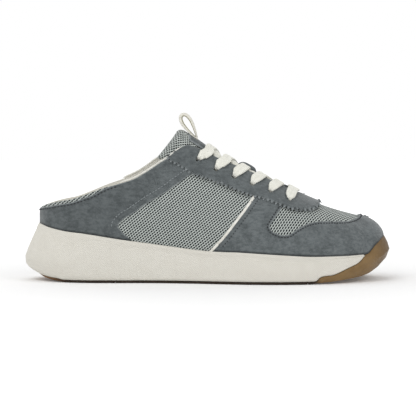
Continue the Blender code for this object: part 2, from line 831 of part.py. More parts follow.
def make_stripes(trim):
    """The strip between the mesh quarter and the mudguard, on each side."""
    under = eyestay_underline()
    front = beneath(shifted(STRIPE_EDGE, STRIPE_WIDTH / 2), under)
    back = beneath(shifted(STRIPE_EDGE, -STRIPE_WIDTH / 2), under)
    for side, name in ((LATERAL, "stripe_lateral"), (MEDIAL, "stripe_medial")):
        overlay(name, [*front, *reversed(back)], trim, (side,))


def make_mudguard(suede):
    under = eyestay_underline()
    back = beneath(shifted(STRIPE_EDGE, STRIPE_WIDTH / 2 + FIT), under)
    window = beneath(WINDOW_EDGE, under)
    outline = [(back[-1][0], BELOW), *reversed(back)]
    outline += between(under, back[0][0], window[0][0])
    outline += [*window, (window[-1][0], ABOVE), (AHEAD, ABOVE), (AHEAD, BELOW)]
    overlay("mudguard", outline, suede)


def make_upper(mesh_material, suede):
    """The lasted shell, and the eyestay whose lace holes go through both."""
    upper = make_object("upper", *shell(-WALL, 0.0, shell_low, top_rise), mesh_material)
    punches = make_eyelet_cutter()
    for pierced in (upper, make_eyestay(suede)):
        cut(pierced, punches)


def make_piping(name, side, material):
    """The piping on the collar's edge, from the mesh lip to the eyestay's corner."""
    path = []
    for station in PLACES:
        rise = top_rise(side, station)
        edge = last_point(side, station, rise)
        if PIPING_START < along_of(edge.x) < PIPING_END:
            up = (edge - last_point(side, station, rise - 0.02)).normalized()
            path.append(lasted(side, station, rise, -WALL / 2) + up * (FIT + PIPING / 2))
    return make_tube(name, path, PIPING / 2, material)


def make_tube(name, path, radius, material):
    curve = bpy.data.curves.new(name, "CURVE")
    curve.dimensions = "3D"
    curve.bevel_depth = radius
    curve.bevel_resolution = 1
    curve.use_fill_caps = True
    spline = curve.splines.new("POLY")
    spline.points.add(len(path) - 1)
    for point, place in zip(spline.points, path):
        point.co = (*place, 1.0)
    curve.materials.append(material)
    made = bpy.data.objects.new(name, curve)
    bpy.context.scene.collection.objects.link(made)
    return made


def grid_solid(outer, inner):
    """Points and faces between two grids of points, closed along all four edges."""
    rows, columns = len(outer), len(outer[0])
    points = [point for grid in (outer, inner) for row in grid for point in row]
    under = rows * columns
    faces = []
    for i in range(rows - 1):
        for j in range(columns - 1):
            near, far = i * columns + j, (i + 1) * columns + j
            corners = [near, near + 1, far + 1, far]
            faces.append(corners)
            faces.append([under + corner for corner in reversed(corners)])
    edge = [j for j in range(columns)]
    edge += [i * columns + columns - 1 for i in range(1, rows)]
    edge += [(rows - 1) * columns + j for j in range(columns - 2, -1, -1)]
    edge += [i * columns for i in range(rows - 2, 0, -1)]
    for a, b in zip(edge, edge[1:] + edge[:1]):
        faces.append((b, a, under + a, under + b))
    return points, faces


def tongue_place(up, across):
    """A place on the tongue: up from 0 at its sewn end to 1 at its top, across from -1 to 1."""
    start, end = station_at_crown(TONGUE_START), station_at_crown(TONGUE_TOP)
    station = start + (end - TONGUE_DROOP * across * across - start) * up
    side = MEDIAL if across > 0 else LATERAL
    spread = TONGUE_SPREAD_LOW + (TONGUE_SPREAD_TOP - TONGUE_SPREAD_LOW) * up
    return side, station, 1 - abs(across) * spread


def make_tongue(material):
    rows, columns = 12, 8
    outer, inner = [], []
    for i in range(rows + 1):
        up = i / rows
        outer.append([])
        inner.append([])
        for j in range(columns + 1):
            across = 2 * j / columns - 1
            place = tongue_place(up, across)
            pad = TONGUE_PAD * ease(0.0, 0.25, up) * math.sqrt(1 - across ** 4)
            pad *= math.sqrt(1 - 0.8 * ease(0.85, 1.0, up))
            outer[-1].append(lasted(*place, -TONGUE_DEPTH))
            inner[-1].append(lasted(*place, -TONGUE_DEPTH - max(pad, TONGUE_EDGE)))
    return make_object("tongue", *grid_solid(outer, inner), material)


def make_tab(material):
    """The suede patch near the tongue's top, which carries the pull loop."""
    rows, columns = 4, 6
    seat = -TONGUE_DEPTH + FIT
    grids = {seat + TAB_THICKNESS: [], seat: []}
    for lift, grid in grids.items():
        for i in range(rows + 1):
            along = TAB_TOP + TAB_LENGTH / SOLE_LENGTH * i / rows
            half = TAB_WIDTH / 2
            row = [crown_place(along, half * (2 * j / columns - 1)) for j in range(columns + 1)]
            grid.append([lasted(*place, lift) for place in row])
    return make_object("tongue_tab", *grid_solid(*grids.values()), material)


def make_pull_loop(material):
    """A folded webbing ribbon that stands on the tab and leans back."""
    base = lasted(*crown_place(LOOP_FOOT, 0.0), -TONGUE_DEPTH + TAB_THICKNESS + 2 * FIT)
    lean = math.radians(LOOP_LEAN)
    up = Vector((-math.sin(lean), 0, math.cos(lean)))
    back = Vector((-math.cos(lean), 0, -math.sin(lean)))
    steps = 16
    points, faces = [], []
    outlines = (
        (0.0, LOOP_LENGTH, LOOP_OPENING / 2 + LOOP_THICKNESS),
        (LOOP_SEAM, LOOP_LENGTH - LOOP_THICKNESS, LOOP_OPENING / 2),
    )
    narrow, wide = 0.30, 1.15
    for start, end, half in outlines:
        for y in (-LOOP_WIDTH / 2, LOOP_WIDTH / 2):
            for i in range(steps):
                angle = 2 * math.pi * i / steps
                share = (1 - math.cos(angle)) / 2
                spread = half * math.sin(angle) * (narrow + (wide - narrow) * share)
                reach = start + (end - start) * share
                points.append(base + up * reach + back * spread + Vector((0, y, 0)))
    for i in range(steps):
        j = (i + 1) % steps
        outer_left, outer_right, inner_left, inner_right = (k * steps for k in range(4))
        faces.append((outer_left + i, outer_left + j, outer_right + j, outer_right + i))
        faces.append((inner_left + j, inner_left + i, inner_right + i, inner_right + j))
        faces.append((outer_left + j, outer_left + i, inner_left + i, inner_left + j))
        faces.append((outer_right + i, outer_right + j, inner_right + j, inner_right + i))
    return make_object("pull_loop", points, faces, material)


def ribbon(path, width, thickness):
    """A flat ribbon with round edges along (along, across, lift) places on the last.

    lift is to the ribbon's lower face, from the upper's outer face.
    """
    section = [(-0.5, 0.5), (-0.38, 1.0), (0.38, 1.0), (0.5, 0.5), (0.38, 0.0), (-0.38, 0.0)]
    places = [crown_place(along, across) for along, across, _ in path]
    normals = [last_normal(*place) for place in places]
    feet = [last_point(*place) + n * row[2] for place, n, row in zip(places, normals, path)]
    points, faces = [], []
    for i, (foot, normal) in enumerate(zip(feet, normals)):
        way = feet[min(i + 1, len(feet) - 1)] - feet[max(i - 1, 0)]
        aside = normal.cross(way).normalized()
        above = way.cross(aside).normalized()
        points += [foot + aside * (u * width) + above * (v * thickness) for u, v in section]
    count = len(section)
    for i in range(len(feet) - 1):
        for k in range(count):
            m = (k + 1) % count
            a, b = i * count, (i + 1) * count
            faces.append((a + k, a + m, b + m, b + k))
    faces.append(list(range(count)))
    faces.append(list(range(len(points) - count, len(points))))
    return points, faces


def lace_path(start, end, side, under):
    """A strand from one side's lace hole to the gap's far edge, where it dives under.

    under says whether the strand crosses below the other one.
    """
    on_eyestay = FIT + SUEDE + FIT
    on_tongue = -TONGUE_DEPTH + LACE_LIFT
    middle = on_tongue + (0.0 if under else LACE_THICKNESS * 0.97)
    far_edge = THROAT_LINE.at(end) - LACE_CLEARANCE
    near_edge = THROAT_LINE.at(start)
    near = EYELET_ROW.at(start)
    far = EYELET_ROW.at(end)
    rows = (
        (near, on_eyestay),
        (near * 0.60 + near_edge * 0.40, on_eyestay + LACE_THICKNESS * 0.35),
        (near_edge * 0.93, on_eyestay),
        (near_edge * 0.62, on_eyestay + (middle - on_eyestay) * 0.40),
        (near_edge * 0.30, on_eyestay + (middle - on_eyestay) * 0.85),
        (0.0, middle),
        (-far_edge * 0.50, middle + (on_tongue - middle) * 0.50),
        (-far_edge, on_tongue),
    )
    path = []
    for distance, lift in rows:
        share = (near - distance) / (near + far)
        path.append((start + (end - start) * share, side * distance, lift))
    return path


def make_laces(material):
    """Five crossings, each two strands in one solid, and the bar at the lower end."""
    for number in range(EYELET_COUNT - 1):
        start, end = eyelet_along(number), eyelet_along(number + 1)
        over = ribbon(lace_path(start, end, LATERAL, False), LACE_WIDTH, LACE_THICKNESS)
        below = ribbon(lace_path(start, end, MEDIAL, True), LACE_WIDTH, LACE_THICKNESS)
        name = f"lace_cross_{number + 1}"
        crossing = make_object(name, *over, material)
        cut(crossing, make_cutter(name + "_under", *below), "UNION")
    along = eyelet_along(EYELET_COUNT - 1)
    reach = EYELET_ROW.at(along)
    lift = FIT + SUEDE + FIT
    bar = [
        (along, reach * share, lift + LACE_THICKNESS * raised)
        for share, raised in (
            (-1.0, 0.0), (-0.8, 0.3), (-0.5, 0.25), (-0.25, 0.1), (0.0, 0.0),
            (0.25, 0.1), (0.5, 0.25), (0.8, 0.3), (1.0, 0.0),
        )
    ]
    make_object("lace_bar", *ribbon(bar, LACE_WIDTH, LACE_THICKNESS), material)


def make_keeper(material):
    """A strip along the tongue, arched over the third crossing."""
    centre = (eyelet_along(2) + eyelet_along(3)) / 2
    seat = -TONGUE_DEPTH + FIT
    arch = 2 * LACE_THICKNESS + 2 * FIT
    path = [
        (centre + KEEPER_LENGTH / SOLE_LENGTH * share, 0.0, seat + arch * raised)
        for share, raised in (
            (-0.5, 0.0), (-0.42, 0.08), (-0.36, 0.70), (-0.26, 1.05), (0.0, 1.15),
            (0.26, 1.05), (0.36, 0.70), (0.42, 0.08), (0.5, 0.0),
        )
    ]
    make_object("lace_keeper", *ribbon(path, KEEPER_WIDTH, KEEPER_THICKNESS), material)


def main():
    for existing in list(bpy.data.objects):
        bpy.data.objects.remove(existing)
    gum = make_material("gum_rubber", (0.21, 0.143, 0.072), 0.55)
    foam = make_material("off_white_foam", (0.70, 0.68, 0.62), 0.6)
    lining = make_material("cream_lining", (0.62, 0.60, 0.53), 0.9)
    fabric = make_material("grey_mesh", (0.40, 0.43, 0.41), 0.9)
    suede = make_material("grey_suede", (0.145, 0.165, 0.17), 0.95)
    trim = make_material("off_white_trim", (0.70, 0.69, 0.63), 0.7)
    lace = make_material("cream_lace", (0.72, 0.72, 0.65), 0.9)
    keeper = make_material("dark_webbing", (0.10, 0.115, 0.12), 0.9)
    make_outsole(gum)
    make_midsole(foam)
    make_insole(lining)
    make_upper(fabric, suede)
    make_heel_counter(suede)
    make_stripes(trim)
    make_mudguard(suede)
    for side, name in ((LATERAL, "piping_lateral"), (MEDIAL, "piping_medial")):
        make_piping(name, side, trim)
    make_tongue(fabric)
    make_tab(suede)
    make_pull_loop(trim)
    make_laces(lace)
    make_keeper(keeper)


main()
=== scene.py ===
import math

import bmesh
import bpy
import numpy as np
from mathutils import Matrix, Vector


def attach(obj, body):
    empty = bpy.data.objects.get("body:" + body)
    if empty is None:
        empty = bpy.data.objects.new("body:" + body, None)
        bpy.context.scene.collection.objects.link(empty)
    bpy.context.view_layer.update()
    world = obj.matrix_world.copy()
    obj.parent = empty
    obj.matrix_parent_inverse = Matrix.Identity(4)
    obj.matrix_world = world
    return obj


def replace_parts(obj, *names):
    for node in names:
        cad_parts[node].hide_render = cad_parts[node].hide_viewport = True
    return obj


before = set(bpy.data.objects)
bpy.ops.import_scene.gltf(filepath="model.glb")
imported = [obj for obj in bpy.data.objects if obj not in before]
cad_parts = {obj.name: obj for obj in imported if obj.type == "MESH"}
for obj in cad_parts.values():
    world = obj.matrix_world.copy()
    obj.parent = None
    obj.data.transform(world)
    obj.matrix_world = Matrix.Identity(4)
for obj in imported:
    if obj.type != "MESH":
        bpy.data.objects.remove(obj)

bpy.ops.object.select_all(action="DESELECT")
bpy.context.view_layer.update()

# Camera: a product photograph of the shoe's outer side, taken from a little above the collar with a
# long lens, level from left to right.
CAMERA_PLACE = (0.0, -1.300, 0.125)
CAMERA_DIP = 2.94
CAMERA_LENS = 137.6
bpy.ops.object.camera_add(location=CAMERA_PLACE, rotation=(math.radians(90 - CAMERA_DIP), 0, 0))
camera = bpy.context.object
camera.data.sensor_width = 36.0
camera.data.lens = CAMERA_LENS
camera.data.clip_end = 40.0
bpy.context.scene.camera = camera
bpy.context.scene.view_settings.view_transform = "Standard"

# Studio: a plain white table top, bright white surroundings, and three soft boxes, the strongest
# above the heel and towards the camera.
FLOOR_SIZE = 9.0
PAPER_WHITE = (0.93, 0.93, 0.93)
bpy.ops.mesh.primitive_plane_add(size=FLOOR_SIZE)
floor = bpy.context.object
floor.name = "studio_floor"
bpy.ops.object.mode_set(mode="EDIT")
bpy.ops.mesh.subdivide(number_cuts=2)
bpy.ops.object.mode_set(mode="OBJECT")
paper = bpy.data.materials.new("white_paper")
paper.use_nodes = True
paper_shader = paper.node_tree.nodes["Principled BSDF"]
paper_shader.inputs["Base Color"].default_value = (*PAPER_WHITE, 1.0)
paper_shader.inputs["Roughness"].default_value = 0.9
paper_shader.inputs["Specular IOR Level"].default_value = 0.2
paper_shader.inputs["Emission Color"].default_value = (1.0, 1.0, 1.0, 1.0)
paper_nodes, paper_links = paper.node_tree.nodes, paper.node_tree.links
paper_place = paper_nodes.new("ShaderNodeTexCoord")
paper_far = paper_nodes.new("ShaderNodeVectorMath")
paper_far.operation = "LENGTH"
paper_links.new(paper_place.outputs["Object"], paper_far.inputs[0])
paper_glow = paper_nodes.new("ShaderNodeMapRange")
# The paper glows more from near the shoe, where this starts, to far from it, where it ends.
GLOW_START, GLOW_END = 0.17, 0.9
GLOW_NEAR, GLOW_FAR = 0.07, 0.42
paper_glow.inputs["From Min"].default_value = GLOW_START
paper_glow.inputs["From Max"].default_value = GLOW_END
paper_glow.inputs["To Min"].default_value = GLOW_NEAR
paper_glow.inputs["To Max"].default_value = GLOW_FAR
paper_links.new(paper_far.outputs["Value"], paper_glow.inputs["Value"])
paper_links.new(paper_glow.outputs["Result"], paper_shader.inputs["Emission Strength"])
floor.data.materials.append(paper)

# The surroundings light the shoe a little less than the white that the camera sees.
WORLD_LIGHT = 0.71
WORLD_SEEN = 1.0
world = bpy.data.worlds.new("studio")
bpy.context.scene.world = world
world.use_nodes = True
world_nodes, world_links = world.node_tree.nodes, world.node_tree.links
world_nodes["Background"].inputs["Color"].default_value = (1.0, 1.0, 1.0, 1.0)
world_ray = world_nodes.new("ShaderNodeLightPath")
world_strength = world_nodes.new("ShaderNodeMapRange")
world_strength.inputs["To Min"].default_value = WORLD_LIGHT
world_strength.inputs["To Max"].default_value = WORLD_SEEN
world_links.new(world_ray.outputs["Is Camera Ray"], world_strength.inputs["Value"])
world_links.new(world_strength.outputs["Result"], world_nodes["Background"].inputs["Strength"])
SOFT_BOXES = (
    # place, aim, width, power
    ((-0.75, -1.10, 1.35), (0.0, 0.0, 0.05), 1.1, 8.0),
    ((0.95, -0.75, 0.95), (0.05, 0.0, 0.05), 0.8, 2.6),
    ((-0.2, 1.25, 1.25), (0.0, 0.0, 0.06), 1.2, 4.3),
)
for box_place, box_aim, box_width, box_power in SOFT_BOXES:
    turn = (Vector(box_aim) - Vector(box_place)).to_track_quat("-Z", "Y").to_euler()
    bpy.ops.object.light_add(type="AREA", location=box_place, rotation=turn)
    soft_box = bpy.context.object
    soft_box.data.size = box_width
    soft_box.data.energy = box_power
bpy.ops.object.select_all(action="DESELECT")

# Outsole: the gum rubber plate that the shoe stands on, moulded in one piece with the bumper that
# turns up over the toe, and bonded to the foam. Two flex grooves are cut across its underside.
SOLE_LENGTH = 0.300
BALL_WIDTH = 0.107
HEEL_WIDTH = 0.078
HEEL_FLARE = 0.012
HEEL_RIM_HEIGHT = 0.0464
WIDEST_HEIGHT = 0.018
EDGE_TUCK = 0.014
OUTSOLE_THICKNESS = 0.0028
BUMPER_WALL = 0.0022
STRIP_SET_BACK = 0.0008
STRIP_END = 0.78
STRIP_FADE = 0.02
FLARE_CURVE = 1.15
GROOVE_WIDTH = 0.0012
GROOVE_DEPTH = 0.0011
GROOVES = (0.253, 0.763)
RIM_LIP = 0.0012
FIT = 0.0003
LATERAL, MEDIAL = -1, 1

# Plan outline and crown, one row for each station from the heel's back to the toe's tip.
# along: share of the sole's length. lateral, medial: shares of the sole's width there. flare: share
# of the heel's flare. crown_along, crown_swing and crown_height: the upper's top line, as shares of
# the sole's length, of the toe's swing and of the instep's height. upright, flat: how far a section
# runs up from the rim and in along the crown before it turns, as shares of its height and width.
STATION_COLUMNS = (
    "along", "lateral", "medial", "flare", "crown_along", "crown_swing", "crown_height",
    "upright", "flat",
)
STATIONS = (
    (0.000, 0.000, 0.000, 1.00, 0.180, 0.00, 1.36, 0.50, 0.50),
    (0.006, 0.122, 0.122, 0.97, 0.180, 0.00, 1.36, 0.50, 0.50),
    (0.020, 0.218, 0.218, 0.88, 0.184, 0.00, 1.36, 0.50, 0.50),
    (0.050, 0.333, 0.333, 0.72, 0.192, 0.00, 1.36, 0.50, 0.50),
    (0.120, 0.461, 0.461, 0.54, 0.215, 0.00, 1.36, 0.50, 0.50),
    (0.200, 0.500, 0.500, 0.46, 0.252, 0.00, 1.35, 0.50, 0.50),
    (0.320, 0.489, 0.480, 0.42, 0.335, 0.00, 1.28, 0.50, 0.48),
    (0.430, 0.462, 0.428, 0.42, 0.430, 0.00, 1.135, 0.48, 0.46),
    (0.520, 0.462, 0.403, 0.42, 0.520, 0.04, 0.965, 0.46, 0.46),
    (0.600, 0.487, 0.427, 0.43, 0.600, 0.08, 0.843, 0.46, 0.47),
    (0.680, 0.503, 0.474, 0.44, 0.677, 0.18, 0.734, 0.48, 0.50),
    (0.760, 0.480, 0.507, 0.44, 0.750, 0.32, 0.623, 0.52, 0.53),
    (0.830, 0.427, 0.500, 0.44, 0.810, 0.50, 0.553, 0.54, 0.54),
    (0.885, 0.357, 0.470, 0.44, 0.853, 0.64, 0.513, 0.54, 0.52),
    (0.935, 0.260, 0.410, 0.43, 0.890, 0.78, 0.485, 0.52, 0.48),
    (0.970, 0.155, 0.343, 0.42, 0.914, 0.86, 0.467, 0.48, 0.44),
    (0.992, 0.022, 0.245, 0.40, 0.929, 0.90, 0.452, 0.42, 0.40),
    (1.000, -0.131, 0.131, 0.38, 0.936, 0.92, 0.442, 0.40, 0.38),
)

# Side profiles of the sole as (along, share): the ground side, the line where foam and rubber part,
# the sole's top edge, the height where it is widest, and how far it tucks in below that.
GROUND = (
    (0.000, 0.62), (0.015, 0.52), (0.047, 0.21), (0.071, 0.108), (0.095, 0.043), (0.117, 0.0),
    (0.750, 0.0), (0.793, 0.055), (0.837, 0.11), (0.883, 0.195), (0.920, 0.28), (0.960, 0.50),
    (0.990, 0.96), (1.000, 1.40),
)
PARTING = (
    (0.000, 0.275), (0.015, 0.222), (0.047, 0.122), (0.071, 0.090), (0.095, 0.073), (0.117, 0.050),
    (0.784, 0.053), (0.795, 0.118), (0.833, 0.160), (0.871, 0.259), (0.907, 0.369), (0.927, 0.490),
    (0.954, 0.640), (0.979, 0.761), (1.000, 0.790),
)
RIM = (
    (0.000, 1.000), (0.040, 1.000), (0.071, 0.948), (0.095, 0.914), (0.117, 0.888), (0.161, 0.856),
    (0.267, 0.750), (0.373, 0.655), (0.500, 0.560), (0.583, 0.545), (0.690, 0.504), (0.793, 0.470),
    (0.859, 0.470), (0.903, 0.476), (0.927, 0.483), (0.954, 0.634), (0.979, 0.755), (1.000, 0.776),
)
WIDEST = (
    (0.000, 1.00), (0.060, 0.95), (0.150, 0.60), (0.400, 0.45), (0.750, 0.42), (0.900, 0.75),
    (0.970, 1.25), (1.000, 1.45),
)
TUCK = (
    (0.000, 1.00), (0.020, 0.80), (0.050, 0.60), (0.120, 0.38), (0.200, 0.23), (0.300, 0.16),
    (0.760, 0.16), (0.860, 0.25), (0.930, 0.50), (0.980, 0.80), (1.000, 0.86),
)


class Line:
    """A smooth curve through (place, value) rows that doesn't swing past them."""

    def __init__(self, rows, scale=1.0):
        self.places = np.array([row[0] for row in rows], float)
        self.values = np.array([row[1] for row in rows], float) * scale
        spans = np.diff(self.places)
        rises = np.diff(self.values) / spans
        self.slopes = np.zeros(len(rows))
        self.slopes[0], self.slopes[-1] = rises[0], rises[-1]
        for i in range(1, len(rises)):
            before, after = rises[i - 1], rises[i]
            if before * after > 0:
                mean = (spans[i] * before + spans[i - 1] * after) / (spans[i - 1] + spans[i])
                steepest = 3 * min(abs(before), abs(after))
                self.slopes[i] = math.copysign(min(abs(mean), steepest), mean)

    def at(self, place):
        place = np.clip(place, self.places[0], self.places[-1])
        i = np.clip(np.searchsorted(self.places, place) - 1, 0, len(self.places) - 2)
        span = self.places[i + 1] - self.places[i]
        u = (place - self.places[i]) / span
        start, end = self.values[i], self.values[i + 1]
        leave, arrive = self.slopes[i] * span, self.slopes[i + 1] * span
        ramp = start * (1 + 2 * u) * (1 - u) ** 2 + end * u * u * (3 - 2 * u)
        return ramp + leave * u * (1 - u) ** 2 + arrive * u * u * (u - 1)


def column(name):
    return np.array([row[STATION_COLUMNS.index(name)] for row in STATIONS], float)


def ease(start, end, value):
    share = np.clip((value - start) / (end - start), 0.0, 1.0)
    return share * share * (3 - 2 * share)


def width_there(along):
    """The sole's width follows the heel's at the back and the ball's in front."""
    return HEEL_WIDTH + (BALL_WIDTH - HEEL_WIDTH) * ease(0.30, 0.60, along)


def station_places():
    """Each row's place from 0 at the heel to 1 at the toe, by its distance round the outline."""
    wide = width_there(column("along"))
    lateral, medial = column("lateral") * wide, column("medial") * wide
    points = np.stack([column("along") * SOLE_LENGTH, (lateral + medial) / 2, lateral], axis=1)
    steps = np.linalg.norm(np.diff(points, axis=0), axis=1)
    return np.concatenate([[0.0], np.cumsum(steps)]) / steps.sum()


def round_both_ends(near, far):
    """One side's rows, run on a little round the heel and the toe with the other side's."""
    places = station_places()
    rows = [(-places[i], far[i]) for i in (2, 1)]
    rows += list(zip(places, near))
    rows += [(2 - places[i], far[i]) for i in (-2, -3)]
    return rows


def symmetric(name, scale=1.0):
    return Line(round_both_ends(column(name), column(name)), scale)


WIDTHS = width_there(column("along"))
OUTER_SIDE, INNER_SIDE = -column("lateral") * WIDTHS, column("medial") * WIDTHS
OUTER_LINE = Line(round_both_ends(OUTER_SIDE, INNER_SIDE))
INNER_LINE = Line(round_both_ends(INNER_SIDE, OUTER_SIDE))
OUTLINE_ALONG = symmetric("along")
FLARE = symmetric("flare", HEEL_FLARE)
GROUND_LINE = Line(GROUND, WIDEST_HEIGHT)
PARTING_LINE = Line(PARTING, HEEL_RIM_HEIGHT)
RIM_LINE = Line(RIM, HEEL_RIM_HEIGHT)
WIDEST_LINE = Line(WIDEST, WIDEST_HEIGHT)
TUCK_LINE = Line(TUCK, EDGE_TUCK)


def x_of(along):
    return (along - 0.5) * SOLE_LENGTH


def along_of(x):
    return x / SOLE_LENGTH + 0.5


def on_loop(loop):
    """Side and station of a place on the loop round the foot.

    The loop runs from 0 at the heel's back along the outer side to 1 at the toe, and on along the
    inner side to 2, which is the heel's back again.
    """
    loop = (np.asarray(loop, float) + 1) % 2 - 1
    return np.where(loop < 0, MEDIAL, LATERAL), np.abs(loop)


def across_at(side, station):
    return np.where(side == LATERAL, OUTER_LINE.at(station), INNER_LINE.at(station))


def outline_points(side, station, inset=0.0):
    """Points of the sole's plan outline, moved in from it along its normal."""
    step = 0.002
    x, y = x_of(OUTLINE_ALONG.at(station)), across_at(side, station)
    way_x = x_of(OUTLINE_ALONG.at(station + step)) - x_of(OUTLINE_ALONG.at(station - step))
    way_y = across_at(side, station + step) - across_at(side, station - step)
    size = np.hypot(way_x, way_y)
    turn = np.where(side == LATERAL, 1.0, -1.0) * inset / size
    return np.stack([x - way_y * turn, y + way_x * turn, np.zeros_like(x)], axis=-1)


def raised(points, height):
    points = points.copy()
    points[..., 2] = height
    return points


def ground_height(side, station):
    return GROUND_LINE.at(along_of(bottom_outline(side, station)[..., 0]))


def bottom_outline(side, station, inset=0.0):
    return outline_points(side, station, TUCK_LINE.at(OUTLINE_ALONG.at(station)) + inset)


def rim_height(side, station):
    """The sole's top edge, whose line is set in the side view."""
    return RIM_LINE.at(along_of(outline_points(side, station, FLARE.at(station))[..., 0]))


def skin_inset(side, station, height):
    """How far the sole's skin lies inside its widest outline at this height."""
    along = OUTLINE_ALONG.at(station)
    widest, ground = WIDEST_LINE.at(along), ground_height(side, station)
    rim = rim_height(side, station)
    up = np.maximum(height - widest, 0.0) / np.maximum(rim - widest, 1e-5)
    down = np.clip((widest - height) / np.maximum(widest - ground, 1e-5), 0.0, 1.0)
    over = FLARE.at(station) * up ** FLARE_CURVE
    return np.where(height > widest, over, TUCK_LINE.at(along) * down * down)


def skin_points(side, station, height, inset=0.0):
    points = outline_points(side, station, skin_inset(side, station, height) + inset)
    return raised(points, height)


def parting_height(side, station):
    """Where foam and rubber part on the sole's skin: the line is set in the side view."""
    height = PARTING_LINE.at(OUTLINE_ALONG.at(station))
    rim = rim_height(side, station)
    for _ in range(6):
        points = skin_points(side, station, np.minimum(height, rim))
        height = PARTING_LINE.at(along_of(points[..., 0]))
    return np.minimum(height, rim)


def recess_inset(station):
    """How far the foam cup's inner wall lies inside the widest outline."""
    return FLARE.at(station) + RIM_LIP


SOLE_COLUMNS = 420
SOLE_LOOP = 2 * np.arange(SOLE_COLUMNS) / SOLE_COLUMNS
SOLE_LOOP = SOLE_LOOP - 0.022 * np.sin(2 * math.pi * SOLE_LOOP)
SOLE_SIDE, SOLE_STATION = on_loop(SOLE_LOOP)


def add_sheet(name, points, closed=False):
    """A grid whose vertices are put at points[column, row], and each vertex's column and row."""
    if closed:
        points = np.concatenate([points, points[:1]])
    columns, rows = points.shape[:2]
    bpy.ops.mesh.primitive_grid_add(x_subdivisions=columns - 1, y_subdivisions=rows - 1, size=1.0)
    sheet = bpy.context.object
    sheet.name = sheet.data.name = name
    flat = np.empty(len(sheet.data.vertices) * 3)
    sheet.data.vertices.foreach_get("co", flat)
    flat = flat.reshape(-1, 3)
    i = np.rint((flat[:, 0] + 0.5) * (columns - 1)).astype(int)
    j = np.rint((flat[:, 1] + 0.5) * (rows - 1)).astype(int)
    sheet.data.vertices.foreach_set("co", points[i, j].ravel())
    sheet.data.update()
    return sheet, i, j


def pick(piece):
    bpy.ops.object.select_all(action="DESELECT")
    piece.select_set(True)
    bpy.context.view_layer.objects.active = piece


def edit(piece):
    pick(piece)
    bpy.ops.object.mode_set(mode="EDIT")
    bpy.ops.mesh.select_mode(type="VERT")
    bpy.ops.mesh.select_all(action="SELECT")


def leave():
    bpy.ops.object.mode_set(mode="OBJECT")
    bpy.ops.object.select_all(action="DESELECT")


def fit(piece, kind, **settings):
    """Adds a modifier and applies it at once."""
    pick(piece)
    modifier = piece.modifiers.new(kind.lower(), kind)
    for setting, value in settings.items():
        setattr(modifier, setting, value)
    bpy.ops.object.modifier_apply(modifier=modifier.name)
    piece.select_set(False)


def smooth(piece, angle):
    pick(piece)
    bpy.ops.object.shade_smooth_by_angle(angle=math.radians(angle))
    piece.select_set(False)


def close_ends(piece, threshold):
    """Merges the seam of a sheet that is rolled into a tube, and fills the tube's open ends."""
    edit(piece)
    bpy.ops.mesh.remove_doubles(threshold=threshold)
    bpy.ops.mesh.select_all(action="DESELECT")
    bpy.ops.mesh.select_non_manifold()
    bpy.ops.mesh.fill_holes(sides=0)
    bpy.ops.mesh.select_all(action="SELECT")
    bpy.ops.mesh.normals_make_consistent(inside=False)
    leave()


def add_ring_body(name, rings):
    """A closed body from rings round the foot, from its underside over its skin to its top."""
    body, _, _ = add_sheet(name, np.stack(rings, axis=1), closed=True)
    close_ends(body, 1e-6)
    check = bmesh.new()
    check.from_mesh(body.data)
    if check.calc_volume(signed=True) < 0:
        body.data.flip_normals()
    check.free()
    return body


